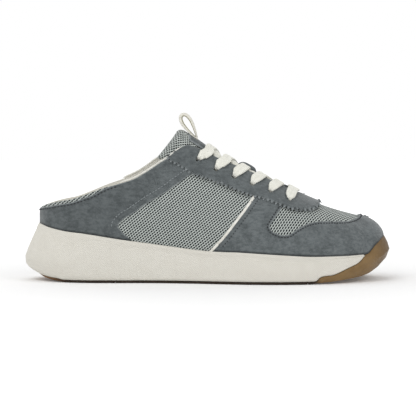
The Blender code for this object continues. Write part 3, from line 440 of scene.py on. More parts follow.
class Finish:
    """A material under work: its nodes, and short ways to add and join them."""

    def __init__(self, name, color, roughness):
        self.material = bpy.data.materials.new(name)
        self.material.use_nodes = True
        self.nodes = self.material.node_tree.nodes
        self.links = self.material.node_tree.links
        self.shader = self.nodes["Principled BSDF"]
        self.shader.inputs["Base Color"].default_value = (*color, 1.0)
        self.shader.inputs["Roughness"].default_value = roughness

    def put(self, socket, value):
        if hasattr(value, "is_output"):
            self.links.new(value, socket)
        else:
            socket.default_value = value

    def place(self, source="Object", scale=(1, 1, 1), turn=(0, 0, 0)):
        """Coordinates in millimetres of the shoe, or of the piece's own map."""
        start = self.nodes.new("ShaderNodeTexCoord")
        mapping = self.nodes.new("ShaderNodeMapping")
        mapping.inputs["Scale"].default_value = [1000 * s for s in scale]
        mapping.inputs["Rotation"].default_value = [math.radians(t) for t in turn]
        self.links.new(start.outputs[source], mapping.inputs["Vector"])
        return mapping.outputs["Vector"]

    def noise(self, place, size, detail=2.0, roughness=0.5):
        """Noise whose grains are about this many millimetres across."""
        node = self.nodes.new("ShaderNodeTexNoise")
        node.inputs["Scale"].default_value = 1.0 / size
        node.inputs["Detail"].default_value = detail
        node.inputs["Roughness"].default_value = roughness
        self.links.new(place, node.inputs["Vector"])
        return node.outputs["Fac"]

    def math(self, operation, a, b=0.0):
        node = self.nodes.new("ShaderNodeMath")
        node.operation = operation
        for socket, value in zip(node.inputs, (a, b)):
            self.put(socket, value)
        return node.outputs[0]

    def band(self, value, low, high, start=0.0, end=1.0):
        """The value spread smoothly from start, where it is low, to end, where it is high."""
        node = self.nodes.new("ShaderNodeMapRange")
        node.interpolation_type = "SMOOTHSTEP"
        for name, given in zip(("Value", "From Min", "From Max", "To Min", "To Max"),
                               (value, low, high, start, end)):
            self.put(node.inputs[name], given)
        return node.outputs["Result"]

    def mix(self, share, a, b, blend="MIX"):
        node = self.nodes.new("ShaderNodeMix")
        node.data_type = "RGBA"
        node.blend_type = blend
        for socket, value in ((node.inputs[0], share), (node.inputs[6], a), (node.inputs[7], b)):
            if isinstance(value, tuple) and len(value) == 3:
                value = (*value, 1.0)
            self.put(socket, value)
        return node.outputs[2]

    def attribute(self, name):
        node = self.nodes.new("ShaderNodeAttribute")
        node.attribute_name = name
        return node.outputs["Fac"]

    def axis(self, place, number):
        node = self.nodes.new("ShaderNodeSeparateXYZ")
        self.links.new(place, node.inputs[0])
        return node.outputs[number]

    def color(self, value):
        self.put(self.shader.inputs["Base Color"], value)

    def rough(self, value):
        self.put(self.shader.inputs["Roughness"], value)

    def bump(self, height, depth):
        """Relief: height 1 stands this many metres proud of height 0."""
        node = self.nodes.new("ShaderNodeBump")
        node.inputs["Distance"].default_value = depth
        node.inputs["Strength"].default_value = 1.0
        self.put(node.inputs["Height"], height)
        before = self.shader.inputs["Normal"]
        if before.is_linked:
            self.links.new(before.links[0].from_socket, node.inputs["Normal"])
        self.links.new(node.outputs["Normal"], before)

    def set(self, **values):
        names = {"sheen": "Sheen Weight", "sheen_rough": "Sheen Roughness",
                 "specular": "Specular IOR Level"}
        for key, value in values.items():
            self.shader.inputs[names[key]].default_value = value


OUTSOLE_SIDE_SHARES = (0.12, 0.35, 0.60, 0.80, 0.93)
OUTSOLE_EDGE = 0.0004
GROUND_RING = 0.004
# The bumper's wall inside, from its top down to the plate, as (share of its height, step inwards).
BUMPER_STEPS = ((1.0, 0.0), (0.5, 0.0003), (0.2, 0.0006), (0.0, 0.0009))
sole_ground = ground_height(SOLE_SIDE, SOLE_STATION)
sole_lip = parting_height(SOLE_SIDE, SOLE_STATION) - FIT
sole_along = OUTLINE_ALONG.at(SOLE_STATION)
strip_inset = STRIP_SET_BACK * (
    1 - ease(STRIP_END - STRIP_FADE, STRIP_END + STRIP_FADE, sole_along))


def rubber_skin(height, inset=0.0):
    return skin_points(SOLE_SIDE, SOLE_STATION, height, strip_inset + inset)


rubber_rings = [
    raised(bottom_outline(SOLE_SIDE, SOLE_STATION, strip_inset + GROUND_RING), sole_ground),
    raised(bottom_outline(SOLE_SIDE, SOLE_STATION, strip_inset + OUTSOLE_EDGE), sole_ground),
]
for share in OUTSOLE_SIDE_SHARES:
    rubber_rings.append(rubber_skin(sole_ground + (sole_lip - sole_ground) * share))
rubber_rings.append(rubber_skin(sole_lip - OUTSOLE_EDGE))
rubber_rings.append(rubber_skin(sole_lip - OUTSOLE_EDGE * 0.3, OUTSOLE_EDGE * 0.3))
rubber_rings.append(rubber_skin(sole_lip, OUTSOLE_EDGE))
rubber_floor = np.minimum(sole_ground + OUTSOLE_THICKNESS, sole_lip)
for share, step in BUMPER_STEPS:
    wall_height = rubber_floor + (sole_lip - rubber_floor) * share
    wall_inset = skin_inset(SOLE_SIDE, SOLE_STATION, wall_height) + BUMPER_WALL
    above = wall_height > WIDEST_LINE.at(sole_along)
    wall_inset = np.where(above, np.minimum(wall_inset, recess_inset(SOLE_STATION)), wall_inset)
    wall = outline_points(SOLE_SIDE, SOLE_STATION, wall_inset + step)
    rubber_rings.append(raised(wall, wall_height))
outsole = add_ring_body("gum_outsole", rubber_rings)
for groove_along in GROOVES:
    bpy.ops.mesh.primitive_cube_add(size=1.0, location=(x_of(groove_along), 0.0, 0.0))
    groove = bpy.context.object
    groove.scale = (GROOVE_WIDTH, 2 * BALL_WIDTH, 2 * GROOVE_DEPTH)
    bpy.ops.object.transform_apply(location=True, rotation=False, scale=True)
    fit(outsole, "BOOLEAN", object=groove, operation="DIFFERENCE", solver="EXACT")
    bpy.data.objects.remove(groove)
smooth(outsole, 30)

gum = Finish("gum_rubber", (0.21, 0.143, 0.072), 0.5)
gum_place = gum.place()
gum_tone = gum.band(gum.noise(gum_place, 14.0, 3), 0.3, 0.7)
gum_mottle = gum.mix(gum_tone, (0.190, 0.114, 0.042), (0.240, 0.150, 0.060))
gum_x, gum_y, gum_z = (gum.axis(gum_place, number) for number in range(3))
# Painted shade: the gum is painted darker on the front of the turned-up toe.
gum_toe_shade = gum.band(gum_x, 126.0, 147.0, 0.0, 0.75)
gum_mottle = gum.mix(gum_toe_shade, gum_mottle, (0.110, 0.066, 0.028))
# Painted shade: the gum's low strip under the foam's edge is painted near black, less so round the heel.
gum_heel_less_shade = gum.band(gum_x, -134.0, -110.0, 1.0, 0.0)
gum_strip_shade = gum.mix(gum_heel_less_shade, (0.030, 0.017, 0.008), (0.21, 0.105, 0.036))
gum_low = gum.band(gum_z, 3.2, 7.0)
gum_front = gum.band(gum_x, 84.0, 90.0)
gum_clear_of_shade = gum.math("MAXIMUM", gum_low, gum_front)
gum.color(gum.mix(gum_clear_of_shade, gum_strip_shade, gum_mottle))
gum.rough(gum.band(gum.noise(gum_place, 2.0, 3), 0.3, 0.7, 0.42, 0.60))
TREAD_PITCH = 5.0
gum_wave = gum.math("ADD", gum_x, gum.math("PINGPONG", gum_y, 6.0))
gum_ribs = gum.math("SINE", gum.math("MULTIPLY", gum_wave, 2 * math.pi / TREAD_PITCH))
gum_ground = gum.band(gum_z, 0.3, 1.2, 1.0, 0.0)
gum.bump(gum.math("MULTIPLY", gum.band(gum_ribs, -0.4, 0.4), gum_ground), 0.0009)
gum.bump(gum.noise(gum_place, 0.35, 3), 0.00005)
gum.set(specular=0.32)
outsole.data.materials.append(gum.material)
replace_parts(outsole, "outsole")
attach(outsole, "root")

# Midsole: a thick cup of moulded off-white foam, with fine slanting striations from its mould and a
# thin raised lip along its upper and lower edges. The upper stands in it.
FLOOR_HEIGHT = 0.029
BUMPER_START = 0.927
FOAM_ROUND = 0.0009
FOAM_LIP = 0.0004
FOAM_THINNEST = 0.0006
FOAM_UNDER_RING = 0.006
# The foam's floor inside the cup, as (along, share of its height at the heel).
FLOOR = (
    (0.000, 1.02), (0.200, 0.97), (0.350, 0.83), (0.500, 0.64), (0.620, 0.53), (0.760, 0.49),
    (0.880, 0.54), (1.000, 0.70),
)
# Rings up the foam's side, as (share of its height, share of the lip).
FOAM_PROFILE = (
    (0.0, 1.0), (0.05, 1.0), (0.085, 0.0), (0.24, 0.0), (0.42, 0.0), (0.60, 0.0), (0.76, 0.0),
    (0.905, 0.0), (0.935, 1.0), (1.0, 1.0),
)
FLOOR_LINE = Line(FLOOR, FLOOR_HEIGHT)
foam_top = RIM_LINE.at(BUMPER_START)
foam_rim = rim_height(SOLE_SIDE, SOLE_STATION)
foam_rim = np.where(sole_along > BUMPER_START - 0.02, np.minimum(foam_rim, foam_top), foam_rim)
foam_wall = outline_points(SOLE_SIDE, SOLE_STATION, recess_inset(SOLE_STATION))
foam_wall_floor = FLOOR_LINE.at(along_of(foam_wall[..., 0]))
foam_behind = ease(-0.0014, -0.0006, sole_lip + FIT - foam_rim)
foam_rim = foam_rim + (foam_wall_floor - foam_rim) * foam_behind
foam_low = np.maximum(sole_lip + FIT, sole_ground + 2 * FOAM_THINNEST)
foam_low = np.minimum(foam_low, foam_rim - FOAM_THINNEST)
foam_set_back = foam_behind * (BUMPER_WALL + FIT)
foam_round = np.minimum(FOAM_ROUND, (foam_rim - foam_low) * 0.4)


def foam_skin(height, inset=0.0):
    return skin_points(SOLE_SIDE, SOLE_STATION, height, foam_set_back + inset)


foam_rings = [
    raised(outline_points(SOLE_SIDE, SOLE_STATION,
                          skin_inset(SOLE_SIDE, SOLE_STATION, foam_low) + FOAM_UNDER_RING), foam_low),
    foam_skin(foam_low, foam_round * 0.8),
    foam_skin(foam_low + foam_round * 0.35, foam_round * 0.2),
]
foam_side_low, foam_side_high = foam_low + foam_round, foam_rim - foam_round
foam_lip = FOAM_LIP * (1 - foam_behind)
for share, lip in FOAM_PROFILE:
    side_height = foam_side_low + (foam_side_high - foam_side_low) * share
    foam_rings.append(foam_skin(side_height, -foam_lip * lip))
foam_rings.append(foam_skin(foam_rim - foam_round * 0.3, foam_round * 0.15 - foam_lip))
foam_rings.append(foam_skin(foam_rim, foam_round * 0.8))
foam_rings.append(raised(foam_wall, foam_rim))
foam_rings.append(raised(foam_wall, foam_wall_floor))
midsole = add_ring_body("foam_midsole", foam_rings)
smooth(midsole, 50)

foam = Finish("off_white_foam", (0.70, 0.68, 0.62), 0.62)
foam_place = foam.place()
foam_tone = foam.noise(foam_place, 9.0, 3)
foam_speck = foam.noise(foam_place, 0.6, 2)
foam_shade = foam.math("ADD", foam.math("MULTIPLY", foam_tone, 0.6),
                       foam.math("MULTIPLY", foam_speck, 0.4))
foam.rough(foam.band(foam_tone, 0.3, 0.7, 0.55, 0.72))
foam_grain = foam.place(turn=(0, 38, 0))
foam_ribs = foam.nodes.new("ShaderNodeTexWave")
foam_ribs.bands_direction = "Z"
foam_ribs.inputs["Scale"].default_value = 0.26
foam_ribs.inputs["Distortion"].default_value = 0.3
foam_ribs.inputs["Detail"].default_value = 0.0
foam.links.new(foam_grain, foam_ribs.inputs["Vector"])
foam_base = foam.mix(foam.band(foam_shade, 0.35, 0.65), (0.692, 0.668, 0.600), (0.726, 0.704, 0.638))
# Painted shade: the foam is painted darker in the grooves of its striations.
foam_groove_shade = foam.band(foam_ribs.outputs["Fac"], 0.1, 0.9, 0.17, 0.0)
foam.color(foam.mix(foam_groove_shade, foam_base, (0.50, 0.48, 0.42)))
foam.bump(foam_ribs.outputs["Fac"], 0.00017)
foam.bump(foam_speck, 0.00001)
foam.set(specular=0.4, sheen=0.05)
midsole.data.materials.append(foam.material)
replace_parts(midsole, "midsole")
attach(midsole, "root")

# Insole: a loose footbed of thin foam with a knitted cover, flat in front and cupped at the heel.
INSOLE_THICKNESS = 0.0042
INSOLE_CUP = 0.0030
INSOLE_BEVEL = 0.0022
WALL = 0.0022
insole_edge = recess_inset(SOLE_STATION) + FIT + WALL + FIT
insole_cup = INSOLE_CUP * (1 - ease(0.30, 0.62, sole_along))
INSOLE_LEVELS = (
    (0.0003, 0.0), (0.0, 0.0008), (0.0, 0.55), (0.25, 0.85), (0.7, 0.97), (1.0, 1.0),
)
insole_rings = []
for inward, up in INSOLE_LEVELS:
    top = INSOLE_THICKNESS + insole_cup
    insole_rings.append(outline_points(SOLE_SIDE, SOLE_STATION, insole_edge + inward * INSOLE_BEVEL))
    floor_there = FLOOR_LINE.at(along_of(insole_rings[-1][..., 0])) + FIT
    insole_rings[-1][..., 2] = floor_there + top * up
for inward, fall in ((1.5, 0.25), (2.5, 0.75), (4.0, 1.0), (6.0, 1.0)):
    insole_rings.append(outline_points(SOLE_SIDE, SOLE_STATION, insole_edge + inward * INSOLE_BEVEL))
    floor_there = FLOOR_LINE.at(along_of(insole_rings[-1][..., 0])) + FIT
    insole_rings[-1][..., 2] = floor_there + INSOLE_THICKNESS + insole_cup * (1 - fall)
insole = add_ring_body("footbed", insole_rings)
smooth(insole, 50)

lining = Finish("cream_lining", (0.62, 0.60, 0.53), 0.9)
lining_place = lining.place()
lining_knit = lining.nodes.new("ShaderNodeTexVoronoi")
lining_knit.inputs["Scale"].default_value = 1.1
lining.links.new(lining_place, lining_knit.inputs["Vector"])
lining_dots = lining.band(lining_knit.outputs["Distance"], 0.15, 0.6)
lining_tone = lining.band(lining.noise(lining_place, 12.0, 3), 0.3, 0.7)
lining_base = lining.mix(lining_tone, (0.84, 0.825, 0.76), (0.90, 0.885, 0.82))
# Painted shade: the knit is painted darker in the hollows between its raised dots.
lining.color(lining.mix(lining.math("MULTIPLY", lining_dots, 0.2), lining_base, (0.60, 0.58, 0.52)))
lining.bump(lining_dots, -0.00010)
lining.set(sheen=0.25, specular=0.2)
insole.data.materials.append(lining.material)
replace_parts(insole, "insole")
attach(insole, "root")

# Upper: one lasted shell of knitted mesh with a cream textile lining, cut low round the heel like a
# mule's and open down the throat. Its lower edge is glued into the foam cup.
INSTEP_HEIGHT = 0.110
TOE_SWING = 0.014
LIP_HEIGHT = 0.0026
THROAT_GAP = 0.0155
THROAT_CORNER = 0.06
THROAT_BEGIN = 0.36
# Columns stand closer together over this last stretch of the throat, this many of them.
THROAT_FINE = 0.012
THROAT_FINE_COUNT = 12
# Collar's height as (along, lateral, medial), in shares of the instep's height.
COLLAR = (
    (0.040, 0.535, 0.535), (0.060, 0.560, 0.560), (0.093, 0.585, 0.586), (0.137, 0.607, 0.610),
    (0.181, 0.648, 0.655), (0.223, 0.690, 0.702), (0.262, 0.718, 0.738), (0.308, 0.761, 0.795),
    (0.329, 0.794, 0.832), (0.350, 0.830, 0.874), (0.372, 0.871, 0.914), (0.393, 0.905, 0.946),
    (0.414, 0.952, 0.985), (0.436, 1.000, 1.020), (0.470, 1.080, 1.090), (0.520, 1.200, 1.200),
)
# Where the mesh lip shows over the suede, as (along, share of the lip's height).
COLLAR_LIP = (
    (0.040, 0.10), (0.060, 0.70), (0.090, 1.00), (0.190, 0.90), (0.235, 0.15), (0.250, 0.0),
    (1.000, 0.0),
)
# Half of the throat's gap, as (along, share of THROAT_GAP).
THROAT = (
    (0.300, 1.60), (0.400, 1.20), (0.450, 0.99), (0.500, 0.95), (0.600, 0.90), (0.660, 0.83),
    (0.706, 0.71), (0.732, 0.54), (0.748, 0.31), (0.756, 0.0),
)
THROAT_END = THROAT[-1][0]
CROWN_ALONG = symmetric("crown_along")
CROWN_ACROSS = symmetric("crown_swing", TOE_SWING)
CROWN_HEIGHT = symmetric("crown_height", INSTEP_HEIGHT)
UPRIGHT = symmetric("upright")
FLAT = symmetric("flat")
COLLAR_LINE = {
    LATERAL: Line([(row[0], row[1]) for row in COLLAR], INSTEP_HEIGHT),
    MEDIAL: Line([(row[0], row[2]) for row in COLLAR], INSTEP_HEIGHT),
}
LIP_LINE = Line(COLLAR_LIP, LIP_HEIGHT)
THROAT_LINE = Line(THROAT, THROAT_GAP)

# Soft troughs (negative) and ridges of the worn-in upper, in millimetres and degrees, placed in the
# side view: middle x and z, slant, half length, half width, depth, and the side or 0 for both.
CREASES = (
    (-118, 62, 8, 16, 3.5, -0.45, 0), (-104, 58, 20, 20, 4.0, 0.35, 0),
    (-92, 66, 32, 22, 3.2, -0.40, 0), (-76, 60, 36, 20, 4.5, 0.35, LATERAL),
    (-60, 78, 38, 16, 3.5, -0.35, 0), (-128, 52, -20, 12, 4.0, 0.30, 0),
    (-84, 48, 25, 18, 4.0, -0.30, MEDIAL), (-30, 88, 20, 10, 3.0, -0.30, 0),
    (44, 50, 52, 14, 3.5, -0.50, 0), (54, 38, 40, 13, 3.0, 0.35, 0), (66, 32, 20, 16, 3.2, -0.45, 0),
    (84, 34, 8, 18, 3.0, 0.35, LATERAL), (98, 40, -12, 15, 3.4, -0.45, 0),
    (112, 44, -25, 10, 3.0, 0.30, 0), (28, 34, 58, 13, 3.2, -0.40, LATERAL),
    (88, 58, -6, 9, 2.6, -0.45, 0), (99, 55, -20, 8, 2.4, 0.35, 0), (120, 36, -50, 8, 3.0, -0.30, 0),
    (34, 46, 60, 12, 3.0, -0.35, MEDIAL), (76, 44, 12, 10, 3.0, -0.30, MEDIAL),
    (0, 60, 38, 26, 6.0, 0.45, 0), (-20, 48, 30, 18, 5.0, -0.30, 0), (12, 42, 50, 12, 4.0, -0.30, 0),
)


def relief(points):
    """How far the creases raise the upper at these places."""
    x, y, z = (1000 * points[..., k] for k in range(3))
    lift = np.zeros_like(x)
    for middle_x, middle_z, slant, half_length, half_width, depth, side in CREASES:
        way = math.radians(slant)
        dx, dz = x - middle_x, z - middle_z
        along = dx * math.cos(way) + dz * math.sin(way)
        aside = dz * math.cos(way) - dx * math.sin(way)
        swell = np.exp(-(along / half_length) ** 2 - (aside / half_width) ** 2)
        if side:
            swell = swell * ease(0.0, 12.0, y * side)
        lift += depth * swell
    return lift / 1000


def crown_points(station):
    return np.stack(
        [x_of(CROWN_ALONG.at(station)), CROWN_ACROSS.at(station), CROWN_HEIGHT.at(station)], axis=-1
    )


def last_points(loop, rise):
    """Points of the upper's outer face on the last.

    rise goes from -1 at the cup's floor to 0 at the rim and 1 at the crown, and on down the other side.
    """
    loop, rise = np.broadcast_arrays(np.asarray(loop, float), np.asarray(rise, float))
    side, station = on_loop(loop)
    side = np.where(rise > 1, -side, side)
    rise = np.where(rise > 1, 2 - rise, rise)
    foot = outline_points(side, station, recess_inset(station) + FIT)
    rim = rim_height(side, station)
    floor_there = FLOOR_LINE.at(along_of(foot[..., 0])) + FIT
    foot[..., 2] = rim + np.minimum(rise, 0.0) * (rim - floor_there)
    crown = crown_points(station)
    inward = crown - foot
    inward[..., 2] = 0.0
    shoulder = foot.copy()
    shoulder[..., 2] += (crown[..., 2] - foot[..., 2]) * UPRIGHT.at(station)
    brow = crown - inward * FLAT.at(station)[..., None]
    up = np.clip(rise, 0.0, 1.0)[..., None]
    back = 1 - up
    over = (foot * back ** 3 + shoulder * 3 * back * back * up + brow * 3 * back * up * up
            + crown * up ** 3)
    return np.where((rise < 0)[..., None], foot, over)


def last_normals(loop, rise):
    step, lift = 0.003, 0.01
    loop, rise = np.broadcast_arrays(np.asarray(loop, float), np.asarray(rise, float))
    forward = last_points(loop + step, rise) - last_points(loop - step, rise)
    upward = last_points(loop, rise + lift) - last_points(loop, rise - lift)
    normal = np.cross(forward, upward)
    size = np.linalg.norm(normal, axis=-1, keepdims=True)
    if size.min() < 1e-12:
        beside = last_normals(loop, np.minimum(rise, 0.97))
        return np.where(size < 1e-12, beside, normal / np.maximum(size, 1e-12))
    return normal / size


def lasted(loop, rise, lift=0.0):
    points = last_points(loop, rise)
    lift = np.asarray(lift + relief(points))
    return points + last_normals(loop, rise) * lift[..., None]


def rise_where(reached, like):
    """The lowest rise at which reached(rise) is true, or 1 at the crown."""
    low, high = np.zeros_like(like), np.ones_like(like)
    never = ~reached(high)
    for _ in range(26):
        middle = (low + high) / 2
        there = reached(middle)
        low, high = np.where(there, low, middle), np.where(there, middle, high)
    return np.where(never, 1.0, high)


def collar_rise(loop, below=None):
    """The rise of the collar's edge, or 2 where the collar lies above the crown."""
    side, station = on_loop(loop)

    def height(along):
        lateral, medial = COLLAR_LINE[LATERAL].at(along), COLLAR_LINE[MEDIAL].at(along)
        return np.where(side == LATERAL, lateral, medial) - (below.at(along) if below else 0.0)

    def reached(rise):
        points = last_points(loop, rise)
        return points[..., 2] >= height(along_of(points[..., 0]))

    over = height(CROWN_ALONG.at(station)) > CROWN_HEIGHT.at(station)
    return np.where(over & (station > 0.3), 2.0, rise_where(reached, station))


def across_rise(loop, distance):
    """The rise at which the section is this far from the crown, across the foot."""
    crown = crown_points(on_loop(loop)[1])[..., 1]
    return rise_where(lambda rise: np.abs(last_points(loop, rise)[..., 1] - crown) <= distance, crown)


def top_rise(loop, below=None):
    """The upper's top edge: the collar, the throat, and a round corner between them."""
    along = CROWN_ALONG.at(on_loop(loop)[1])
    throat = across_rise(loop, THROAT_LINE.at(along))
    throat = np.where(along < THROAT_BEGIN, 2.0, np.where(along > THROAT_END - 1e-4, 1.0, throat))
    collar = collar_rise(loop, below)
    overlap = np.maximum(THROAT_CORNER - np.abs(collar - throat), 0.0) / THROAT_CORNER
    rounded = np.minimum(collar, throat) - overlap * overlap * THROAT_CORNER / 4
    return np.where(throat >= 1.0, np.minimum(collar, throat), rounded)


def station_at_crown(along):
    """The station whose section meets the crown at this share of the sole's length."""
    low, high = np.zeros_like(along, dtype=float), np.ones_like(along, dtype=float)
    for _ in range(30):
        middle = (low + high) / 2
        short = CROWN_ALONG.at(middle) < along
        low, high = np.where(short, middle, low), np.where(short, high, middle)
    return low


def side_stations(count):
    """Stations from heel to toe, closer together round the throat's end."""
    near_end, end = station_at_crown(np.array([THROAT_END - THROAT_FINE, THROAT_END]))
    even = np.linspace(0.0, 1.0, count)
    even = even[(even < near_end - 0.001) | (even > end + 0.001)]
    turn = np.linspace(0, math.pi / 2, THROAT_FINE_COUNT)
    round_end = near_end + (end - near_end) * np.sin(turn)
    return np.sort(np.concatenate([even, round_end]))


def whole_loop(count):
    stations = side_stations(count)
    return np.concatenate([stations, 2 - stations[-2:0:-1]])


def column_lengths(points):
    """How far each point of a column is from its first point, along the column."""
    steps = np.linalg.norm(np.diff(points, axis=1), axis=2)
    return np.concatenate([np.zeros((len(points), 1)), np.cumsum(steps, axis=1)], axis=1)


def give_map(piece, across, up):
    """Sets the piece's own map, in metres, from one pair of numbers for each vertex."""
    mesh = piece.data
    corners = np.empty(len(mesh.loops), dtype=np.int32)
    mesh.loops.foreach_get("vertex_index", corners)
    mesh.uv_layers[0].data.foreach_set("uv", np.stack([across[corners], up[corners]], axis=1).ravel())


def give_value(piece, name, values):
    attribute = piece.data.attributes.new(name, "FLOAT", "POINT")
    attribute.data.foreach_set("value", np.asarray(values, np.float32))


SHELL_COUNT = 250
SHELL_ROWS = 44
CUP_RISES = (-1.0, -0.5, -0.12)
# The mesh is cut level along the quarters, and over the vamp it follows the girth.
VAMP_START_X = 0.043
VAMP_SQUEEZE = 0.74
shell_loop = whole_loop(SHELL_COUNT)
shell_top = top_rise(shell_loop)
shell_shares = np.linspace(0.0, 1.0, SHELL_ROWS)
shell_rises = np.concatenate([np.tile(CUP_RISES, (len(shell_loop), 1)),
                              shell_top[:, None] * shell_shares], axis=1)
shell_points = lasted(shell_loop[:, None], shell_rises)
to_crown = shell_top[:, None] + (1 - shell_top)[:, None] * np.linspace(0, 1, 9)
crown_gap = column_lengths(last_points(shell_loop[:, None], to_crown))[:, -1]
shell_lengths = column_lengths(shell_points)
shell_crown = crown_points(on_loop(shell_loop)[1])[:, None]
girth = shell_lengths[:, -1:] - shell_lengths + crown_gap[:, None]
girth = np.where(shell_points[..., 1] > shell_crown[..., 1], girth, -girth)
vamp = shell_points[..., 0] > VAMP_START_X
shell_up = np.where(vamp, shell_crown[..., 2] + girth * VAMP_SQUEEZE, shell_points[..., 2])
upper, shell_i, shell_j = add_sheet("upper_shell", shell_points, closed=True)
give_map(upper, shell_points[..., 0][shell_i % len(shell_loop), shell_j],
         shell_up[shell_i % len(shell_loop), shell_j])


def merge(piece):
    """Merges doubles, and turns the faces of an open sheet away from the shoe's middle."""
    edit(piece)
    bpy.ops.mesh.remove_doubles(threshold=2e-6)
    bpy.ops.mesh.normals_make_consistent(inside=False)
    leave()
    face = max(piece.data.polygons, key=lambda face: abs(face.normal.y) + face.area * 1e4)
    if face.normal.y * face.center.y <= 0:
        piece.data.flip_normals()


merge(upper)
EYELET_COUNT = 6
EYELET_HOLE = 0.0042
PUNCH_SIDES = 14
PUNCH_LENGTH = 0.010
FIRST_EYELET = 0.470
LAST_EYELET = 0.712
EYELET_SPREAD = 0.0262
EYELET_LINE = ((0.473, 0.78), (0.520, 0.84), (0.570, 0.90), (0.616, 0.94), (0.719, 1.03))
EYELET_ROW = Line(EYELET_LINE, EYELET_SPREAD)


def eyelet_along(number):
    return FIRST_EYELET + (LAST_EYELET - FIRST_EYELET) * number / (EYELET_COUNT - 1)


def crown_place(along, across):
    """Loop place and rise of the place that is this far across the foot from the crown."""
    along, across = np.broadcast_arrays(np.asarray(along, float), np.asarray(across, float))
    station = station_at_crown(along)
    loop = np.where(across > 0, 2 - station, station)
    return loop, across_rise(loop, np.abs(across))


def punch_eyelets(piece):
    """Twelve round lace holes, punched square to the surface."""
    body = bmesh.new()
    for number in range(EYELET_COUNT):
        for side in (LATERAL, MEDIAL):
            along = eyelet_along(number)
            loop, rise = crown_place(along, side * EYELET_ROW.at(along))
            centre, normal = Vector(last_points(loop, rise)), Vector(last_normals(loop, rise))
            turn = normal.to_track_quat("Z", "Y").to_matrix().to_4x4()
            turn.translation = centre
            bmesh.ops.create_cone(body, cap_ends=True, segments=PUNCH_SIDES, radius1=EYELET_HOLE / 2,
                                  radius2=EYELET_HOLE / 2, depth=PUNCH_LENGTH, matrix=turn)
    mesh = bpy.data.meshes.new("eyelet_punch")
    body.to_mesh(mesh)
    body.free()
    punch = bpy.data.objects.new("eyelet_punch", mesh)
    bpy.context.scene.collection.objects.link(punch)
    fit(piece, "BOOLEAN", object=punch, operation="DIFFERENCE", solver="EXACT")
    bpy.data.objects.remove(punch)


# Mesh holes, in millimetres: from hole to hole along a row that rises at 40 degrees, how far the next
# row is shifted along it, and from row to row. Then holes in a row and rows, counted per millimetre
# along the map and up it.
HOLE_STEP, ROW_SHIFT, ROW_STEP = 2.152, 0.714, 1.861
HOLES_COUNTED, ROWS_COUNTED = (0.4704, 0.1634), (0.3465, -0.4109)
MESH_GREY = (0.40, 0.43, 0.41)


def knitted(name, hole_length, hole_width):
    """Spacer mesh: a slanting net of thread round oval holes, in the piece's own map.

    Also returns the map, how far from a hole's centre a place is, 1 on the oval, and the distance
    in millimetres from the row's middle.
    """
    net = Finish(name, MESH_GREY, 0.85)
    place = net.place("UV")
    counted = []
    for steps in (HOLES_COUNTED, ROWS_COUNTED):
        node = net.nodes.new("ShaderNodeVectorMath")
        node.operation = "DOT_PRODUCT"
        net.links.new(place, node.inputs[0])
        node.inputs[1].default_value = (*steps, 0.0)
        counted.append(net.math("SUBTRACT", net.math("FRACT", node.outputs["Value"]), 0.5))
    along = net.math("SUBTRACT", net.math("MULTIPLY", counted[0], HOLE_STEP),
                     net.math("MULTIPLY", counted[1], ROW_SHIFT))
    aside = net.math("MULTIPLY", counted[1], ROW_STEP)
    far = net.math("SQRT", net.math(
        "ADD", net.math("POWER", net.math("DIVIDE", along, hole_length), 2.0),
        net.math("POWER", net.math("DIVIDE", aside, hole_width), 2.0)))
    return net, place, far, aside


net, net_place, net_far, net_aside = knitted("grey_mesh", 0.94, 0.68)
net_thread = net.band(net_far, 0.78, 1.10)
net_cord = net.band(net.math("ABSOLUTE", net_aside), 0.55, 0.95)
net_tone = net.band(net.noise(net_place, 8.0, 3), 0.3, 0.7)
net_light = net.mix(net_tone, (0.60, 0.645, 0.615), (0.72, 0.765, 0.73))
# Painted shade: the holes are painted near black and each row darker along its middle, where the mesh lies
# deepest.
net_yarn = net.mix(net_cord, (0.42, 0.46, 0.437), net_light)
net.color(net.mix(net_thread, (0.014, 0.018, 0.020), net_yarn))
net_high = net.math("ADD", net.math("MULTIPLY", net_thread, 0.7), net.math("MULTIPLY", net_cord, 0.3))
net.bump(net_high, 0.00045)
net.bump(net.noise(net_place, 0.25, 2), 0.00006)
net.set(sheen=0.15, specular=0.25)

upper.data.materials.append(net.material)
upper.data.materials.append(lining.material)
fit(upper, "SOLIDIFY", thickness=WALL, offset=-1.0, material_offset=1, material_offset_rim=1,
    use_rim=True)
punch_eyelets(upper)
smooth(upper, 60)
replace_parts(upper, "upper")
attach(upper, "root")

# Heel counter: a suede panel glued and stitched over the mesh round the heel, up to the collar's lip
# and forward in a long slanting edge above the mesh quarter.
# Panel edges in the side view as (along, share of the instep's height).
EYESTAY_EDGE = (
    (0.383, 0.935), (0.390, 0.890), (0.402, 0.868), (0.418, 0.845), (0.435, 0.820), (0.451, 0.787),
    (0.483, 0.757), (0.514, 0.726), (0.559, 0.677), (0.600, 0.632), (0.648, 0.593), (0.695, 0.545),
    (0.719, 0.521), (0.743, 0.511), (0.768, 0.511), (0.788, 0.519), (0.800, 0.537), (0.805, 0.560),
    (0.805, 0.700),
)
QUARTER_EDGE = (
    (0.475, 0.826), (0.451, 0.781), (0.422, 0.726), (0.382, 0.648), (0.341, 0.582), (0.300, 0.505),
    (0.268, 0.446), (0.260, 0.412), (0.269, 0.376), (0.295, 0.312), (0.330, 0.230),
)
STRIPE_EDGE = (
    (0.630, 0.655), (0.619, 0.610), (0.598, 0.530), (0.576, 0.452), (0.541, 0.330), (0.511, 0.241),
    (0.490, 0.180),
)
